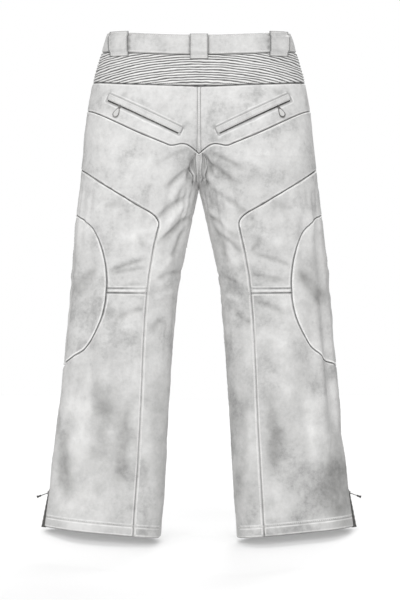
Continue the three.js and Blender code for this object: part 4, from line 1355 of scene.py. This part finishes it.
def fit_tapes(name, line, out, across):
    """The two woven tapes, each a thin closed strip beside the teeth."""
    tapes = []
    for sign in (-1, 1):
        rows = []
        for b in (0.95, 2.6, 5.5, 9.0, 12.0):
            wave = 0.04 * np.sin(np.arange(len(line)) * 0.7 + b)
            rows.append(line + across * (sign * b) + out * (0.2 + wave * (b > 3))[:, None])
        top = np.vstack(rows)
        bottom = top - np.tile(out, (len(rows), 1)) * 0.4
        faces = grid_faces(len(rows), len(line))
        if sign > 0:
            faces = turned_over(faces)
        m = len(top)
        closed = faces + [tuple(i + m for i in face) for face in turned_over(faces)]
        closed += [(b, a, a + m, b + m) for a, b in open_edges(faces)]
        tapes.append((np.vstack([top, bottom]), closed))
    make_piece(f"tape_{name}", *gather(tapes), [tape_cloth], "zip_tape", f"{name}_zip")


def tooth_at(centre, along, wide, deep, half_sizes):
    """A block whose outer side is a little narrower."""
    a, b, c = half_sizes
    points = [
        centre + along * i * a * (0.82 if k > 0 else 1) + wide * j * b + deep * k * c
        for i in (-1, 1) for j in (-1, 1) for k in (-1, 1)
    ]
    faces = [(0, 1, 3, 2), (4, 6, 7, 5), (0, 4, 5, 1), (2, 3, 7, 6), (0, 2, 6, 4), (1, 5, 7, 3)]
    return np.array(points), faces


def fit_zip(name, is_open):
    """A zip's tapes and its teeth, which interlock unless it is open."""
    line, out = zip_line(name)
    travel = np.gradient(line, axis=0)
    travel /= np.linalg.norm(travel, axis=1, keepdims=True)
    across = np.cross(out, travel)
    fit_tapes(name, line, out, across)
    run = length_along(line)
    near, far = 1.0 if is_open else -0.35, 2.9
    teeth = []
    for k, at in enumerate(np.arange(1.6, run[-1] - 1.4, 1.5)):
        middle, along, wide, deep = (
            np.array([np.interp(at, run, v[:, i]) for i in range(3)]) for v in (line, travel, across, out)
        )
        middle = middle + wide * (1 if k % 2 else -1) * (near + far) / 2
        teeth.append(tooth_at(middle, along, wide, deep, (0.62, (far - near) / 2, 1.15)))
    make_piece(f"teeth_{name}", *gather(teeth), [metal], "zip_metal", smooth=False)


def finish_metal(node, width=0.00035, look=metal):
    """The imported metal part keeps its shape, with its edges broken and a finish on it."""
    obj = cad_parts[node]
    for slot in obj.material_slots:
        slot.link = "OBJECT"
        slot.material = look
    if not obj.material_slots:
        obj.data.materials.append(look)
    bevel = obj.modifiers.new("broken_edges", "BEVEL")
    bevel.width = width
    bevel.segments = 3
    bevel.limit_method = "ANGLE"
    bevel.harden_normals = False


def millimetres(places):
    """Places in the row frame as millimetres above the hem."""
    return places * 1000 + np.array([0, 0, OUTSEAM])


def pull_frame(node):
    """A pull's corners and its middle, and its long, wide and outward directions, in the row frame."""
    obj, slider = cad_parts[node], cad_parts[node.replace("_pull", "_slider")]
    places, anchor = (
        np.array([(o.matrix_world @ vertex.co)[:] for vertex in o.data.vertices]) for o in (obj, slider)
    )
    middle = places.mean(axis=0)
    long, wide, out = np.linalg.svd(places - middle, full_matrices=False)[2]
    towards = middle - anchor.mean(axis=0)
    return places, middle, long * np.sign(long @ towards), wide, out * np.sign(out @ towards)


def plate(name, ring, axes, top, thickness, look, rides):
    """A flat prism over a ring of plane points."""
    long, wide, out = axes
    n = len(ring)
    levels = [ring[:, :1] * long + ring[:, 1:] * wide + out * at for at in (top, top - thickness)]
    faces = [tuple(range(n)), tuple(range(2 * n - 1, n - 1, -1))]
    faces += [((i + 1) % n, i, i + n, (i + 1) % n + n) for i in range(n)]
    points = millimetres(np.vstack(levels))
    piece = make_piece(name, points, faces, [look], "zip_metal", rides=rides, smooth=False)
    soften = piece.modifiers.new("soft_rim", "BEVEL")
    soften.width, soften.segments = 0.0003, 2


def dress_tab(node):
    """A dark teardrop frame round the tab of a pull, with a light leather inlay."""
    places, middle, *axes = pull_frame(node)
    long, wide, out = axes
    tip = middle @ long + ((places - middle) @ long).max()
    high, low = (places @ out).max(), (places @ out).min()
    half, crown, shoulder = 0.0066, 0.0076, 0.0150
    turn = np.linspace(0, TURN, 40, endpoint=False)
    c, s = np.cos(turn), np.sin(turn)
    reach = tip - 0.0070 + np.where(c < 0, shoulder, crown) * c
    narrowed = np.sign(s) * (np.abs(s) ** 0.6 * (1 + 0.34 * c))
    drop = np.stack([reach, middle @ wide + half * np.where(c < 0, narrowed, s)], axis=1)
    centre = drop.mean(axis=0)
    plate(f"frame_{node}", drop, axes, high + 2e-4, high - low + 4e-4, metal, node)
    plate(f"inlay_{node}", centre + (drop - centre) * 0.74, axes, high + 5.5e-4, 4.5e-4, inlay, node)


def grip_tab(node):
    """A dark moulded grip over an ankle pull, with a knob at its end."""
    places, middle, long, _, out = pull_frame(node)
    reach = ((places - middle) @ long).max()
    share = np.linspace(0, 1, 26)
    radii = 1.9 + 1.2 * bell(share, 0.86, 0.14) - 0.7 * np.clip((share - 0.97) / 0.03, 0, 1)
    line = millimetres(middle + np.outer(np.linspace(reach * 0.1, reach + 0.0006, 26), long))
    points, faces = tube(line, np.tile(out, (26, 1)), radii, sides=12)
    make_piece(f"grip_{node}", points, faces, [enamel], "zip_metal", rides=node)


def bind_ankles():
    """The dark tape edges that stand out of each ankle opening, further towards the hem."""
    strips = []
    for side in SIDES:
        for sign in (-1, 1):
            points = flat(math.pi, np.linspace(101, 22, 60))
            points[:, 0] += sign * ANKLE_SLOT
            phi, h = unflat(points)
            normal = outward(phi, h, side)
            base = body(phi, h, side)
            across = np.cross(normal, np.gradient(base, axis=0))
            across /= np.linalg.norm(across, axis=1, keepdims=True)
            reach = 0.9 + 5.2 * np.clip((100 - h) / 80, 0, 1) ** 0.8 + 0.25 * np.sin(h * 0.6)
            rows = [base + across * a + normal * (share * reach + low)[:, None]
                    for a, share, low in ((-0.5, 0, -3.0), (-0.5, 1, 0), (0.5, 1, 0), (0.5, 0, -3.0))]
            n = len(h)
            faces = [(i * n + j, (i + 1) % 4 * n + j, (i + 1) % 4 * n + j + 1, i * n + j + 1)
                     for i in range(4) for j in range(n - 1)]
            faces += [(0, n, 2 * n, 3 * n), tuple(i * n + n - 1 for i in (3, 2, 1, 0))]
            strips.append((np.vstack(rows), faces))
    make_piece("tape_edges_ankles", *gather(strips), [tape_cloth], "zip_tape")


def fit_hardware():
    bind_ankles()
    for name in ("back_pocket_left", "back_pocket_right", "fly", "ankle_left", "ankle_right"):
        at_ankle = name.startswith("ankle")
        fit_zip(name, is_open=at_ankle)
        finish_metal(f"{name}_slider")
        finish_metal(f"{name}_pull", 0.0005, enamel if at_ankle else metal)
        if at_ankle:
            grip_tab(f"{name}_pull")
        else:
            dress_tab(f"{name}_pull")
    finish_metal("snap_cap", 0.0006)
    finish_metal("snap_stud", 0.0004)


# ------------------------------------------------------------------ fly, tab, gussets and gaiters
def sew_closure():
    """The tab at the front of the waistband, and the placket behind the fly's zip."""
    middle = OUTSEAM - WAIST_DIP[FRONT] - BAND / 2

    def tab(s, t):
        points, normals = on_cloth(FRONT, -46 + 80 * s, middle - 15 + 30 * t)
        bend = np.clip((s - 0.7) / 0.3, 0, 1)
        return points + normals * (1.7 - 2.0 * bend * bend * (3 - 2 * bend))[:, None], normals

    def placket(s, t):
        return on_cloth(FRONT, -24 + 48 * s, FLY_FOOT - 9 + (FLY_TOP - FLY_FOOT + 12) * t, rise=0.0)

    sew_strip("cloth_waist_tab", tab, (30, 12), 0.1, 2.0, "waist_tab", (0.1, 0.9), 0.7, "waist_tab")
    outer, inner, faces = pad(placket, 10, 30, -16.0, -14.6, 0.4)
    thicken("cloth_fly_placket", outer, inner, faces, [lining, lining], "lining_fabric", "fly_placket",
            strip_wear_and_rim_shade(10, 30))


def sew_ankles():
    for side, word in SIDES.items():
        def gusset(s, t, side=side):
            phi, h = math.pi + (s - 0.5) * 0.6, 28 + 94 * t
            return body(phi, h, side), outward(phi, h, side)

        outer, inner, faces = pad(gusset, 14, 20, -11.5, -9.6, 0.4)
        thicken(f"gusset_{word}", outer, inner, faces, [lining, lining], "lining_fabric",
                f"ankle_{word}_gusset")
        sew_sleeve(f"gaiter_{word}", side, np.linspace(53, 204, 40), 1.5, 0.0, 1.3, lining,
                   "lining_fabric", f"snow_gaiter_{word}")
        sew_sleeve(f"gripper_{word}", side, np.linspace(53, 65.5, 10), 2.2, 2.4, 0.0, gripper,
                   "elastic_band", f"gaiter_elastic_{word}")


def sew_sleeve(name, side, levels, thickness, inset, ruffle, look, slot, node):
    """A sleeve inside the leg, deeper in by inset than the gaiter's line and gathered near its foot."""
    turn = np.linspace(0, TURN, 180, endpoint=False)
    h, phi = (grid.ravel() for grid in np.meshgrid(levels, turn, indexing="ij"))
    normal = outward(phi, h, side)
    gathers = ruffle * bell(h, 66, 26) * np.sin(phi * 46 + 2 * np.sin(phi * 3))
    outer = body(phi, h, side) - normal * (gaiter_inset(h) + inset - gathers)[:, None]
    faces = ring_faces(len(levels), len(turn))
    faces = faces if side == RIGHT else turned_over(faces)
    thicken(name, outer, outer - normal * thickness, faces, [look, look], slot, node)


# ------------------------------------------------------------------ the studio
def build_stage():
    """A paper floor that follows the rise of the hems, and falls away behind them. It glows a little, as
    painted light.
    """
    hem = -OUTSEAM / 1000 - 0.003
    behind, run, fall = 0.085, 0.35, 0.055
    outline = [(-6.0, hem - fall)]
    for share in np.linspace(1, 0, 25):
        outline.append((behind - run * share, hem - fall * share**2 * (3 - 2 * share)))
    outline.append((9.0, hem))
    inner, outer, rise = HEM_INNER / 1000, HEM_OUTER / 1000, HEM_RISE / 1000
    ridge = [-9.0, -outer, -inner, inner, outer, 9.0]
    lift = [rise, rise, 0.0, 0.0, rise, rise]
    n = len(ridge)
    points = [(x, y, z + up) for y, z in outline for x, up in zip(ridge, lift)]
    faces = [(n * i + j, n * i + j + 1, n * (i + 1) + j + 1, n * (i + 1) + j)
             for i in range(len(outline) - 1) for j in range(n - 1)]
    mesh = bpy.data.meshes.new("studio_sweep")
    mesh.from_pydata(points, [], faces)
    mesh.polygons.foreach_set("use_smooth", [True] * len(faces))
    # The paper's glow is painted light, not a lamp.
    paper = Look("glowing_studio_paper", Roughness=0.95, Specular_IOR_Level=0.0, Emission_Color=(1, 1, 1, 1),
                 Emission_Strength=0.28)
    paper.colour(paper.ramp(paper.noise(3, 2), [(0.3, 0.585), (0.7, 0.595)]))
    mesh.materials.append(paper.material)
    add_object("studio_sweep", mesh)


def add_light(name, towards, strength, softness):
    """A far, soft light whose rays run along the direction towards."""
    light = bpy.data.lights.new(name, "SUN")
    light.energy = strength
    light.angle = math.radians(softness)
    obj = add_object(name, light)
    obj.location = -Vector(towards) * 3
    obj.rotation_euler = Vector(towards).to_track_quat("-Z", "Y").to_euler()


def light_world(strength):
    """White where the camera looks at it, and an even light of the given strength elsewhere."""
    world = bpy.data.worlds.new("studio")
    world.use_nodes = True
    nodes, links = world.node_tree.nodes, world.node_tree.links
    nodes["Background"].inputs["Color"].default_value = (1, 1, 1, 1)
    rays, level = nodes.new("ShaderNodeLightPath"), nodes.new("ShaderNodeMapRange")
    level.inputs["To Min"].default_value = strength
    level.inputs["To Max"].default_value = 1.0
    links.new(rays.outputs["Is Camera Ray"], level.inputs["Value"])
    links.new(level.outputs["Result"], nodes["Background"].inputs["Strength"])
    bpy.context.scene.world = world


def light_and_camera():
    light_world(0.50)
    bpy.context.scene.view_settings.view_transform = "Standard"
    add_light("overhead", (0.05, 0.90, -0.42), 1.9, 42)
    add_light("from_left", (0.55, 0.80, -0.25), 0.32, 40)
    add_light("ceiling", (0.0, 0.05, -1.0), 1.1, 34)
    add_light("behind", (-0.2, -0.75, -0.5), 1.5, 30)
    camera = bpy.data.cameras.new("camera")
    camera.lens = 190
    camera.sensor_width = 36
    camera.clip_end = 50
    obj = add_object("camera", camera)
    picture_height = 1.260
    distance = picture_height * camera.lens / camera.sensor_width
    obj.location = (0.0021, -distance, -0.561)
    obj.rotation_euler = (math.pi / 2, 0, 0)
    bpy.context.scene.camera = obj


sew_shell()
sew_ribs()
sew_trim()
for loop_name, (loop_face, loop_x) in LOOPS.items():
    sew_belt_loop(loop_name, loop_face, loop_x)
sew_pockets()
fit_hardware()
sew_closure()
sew_ankles()
build_stage()
light_and_camera()
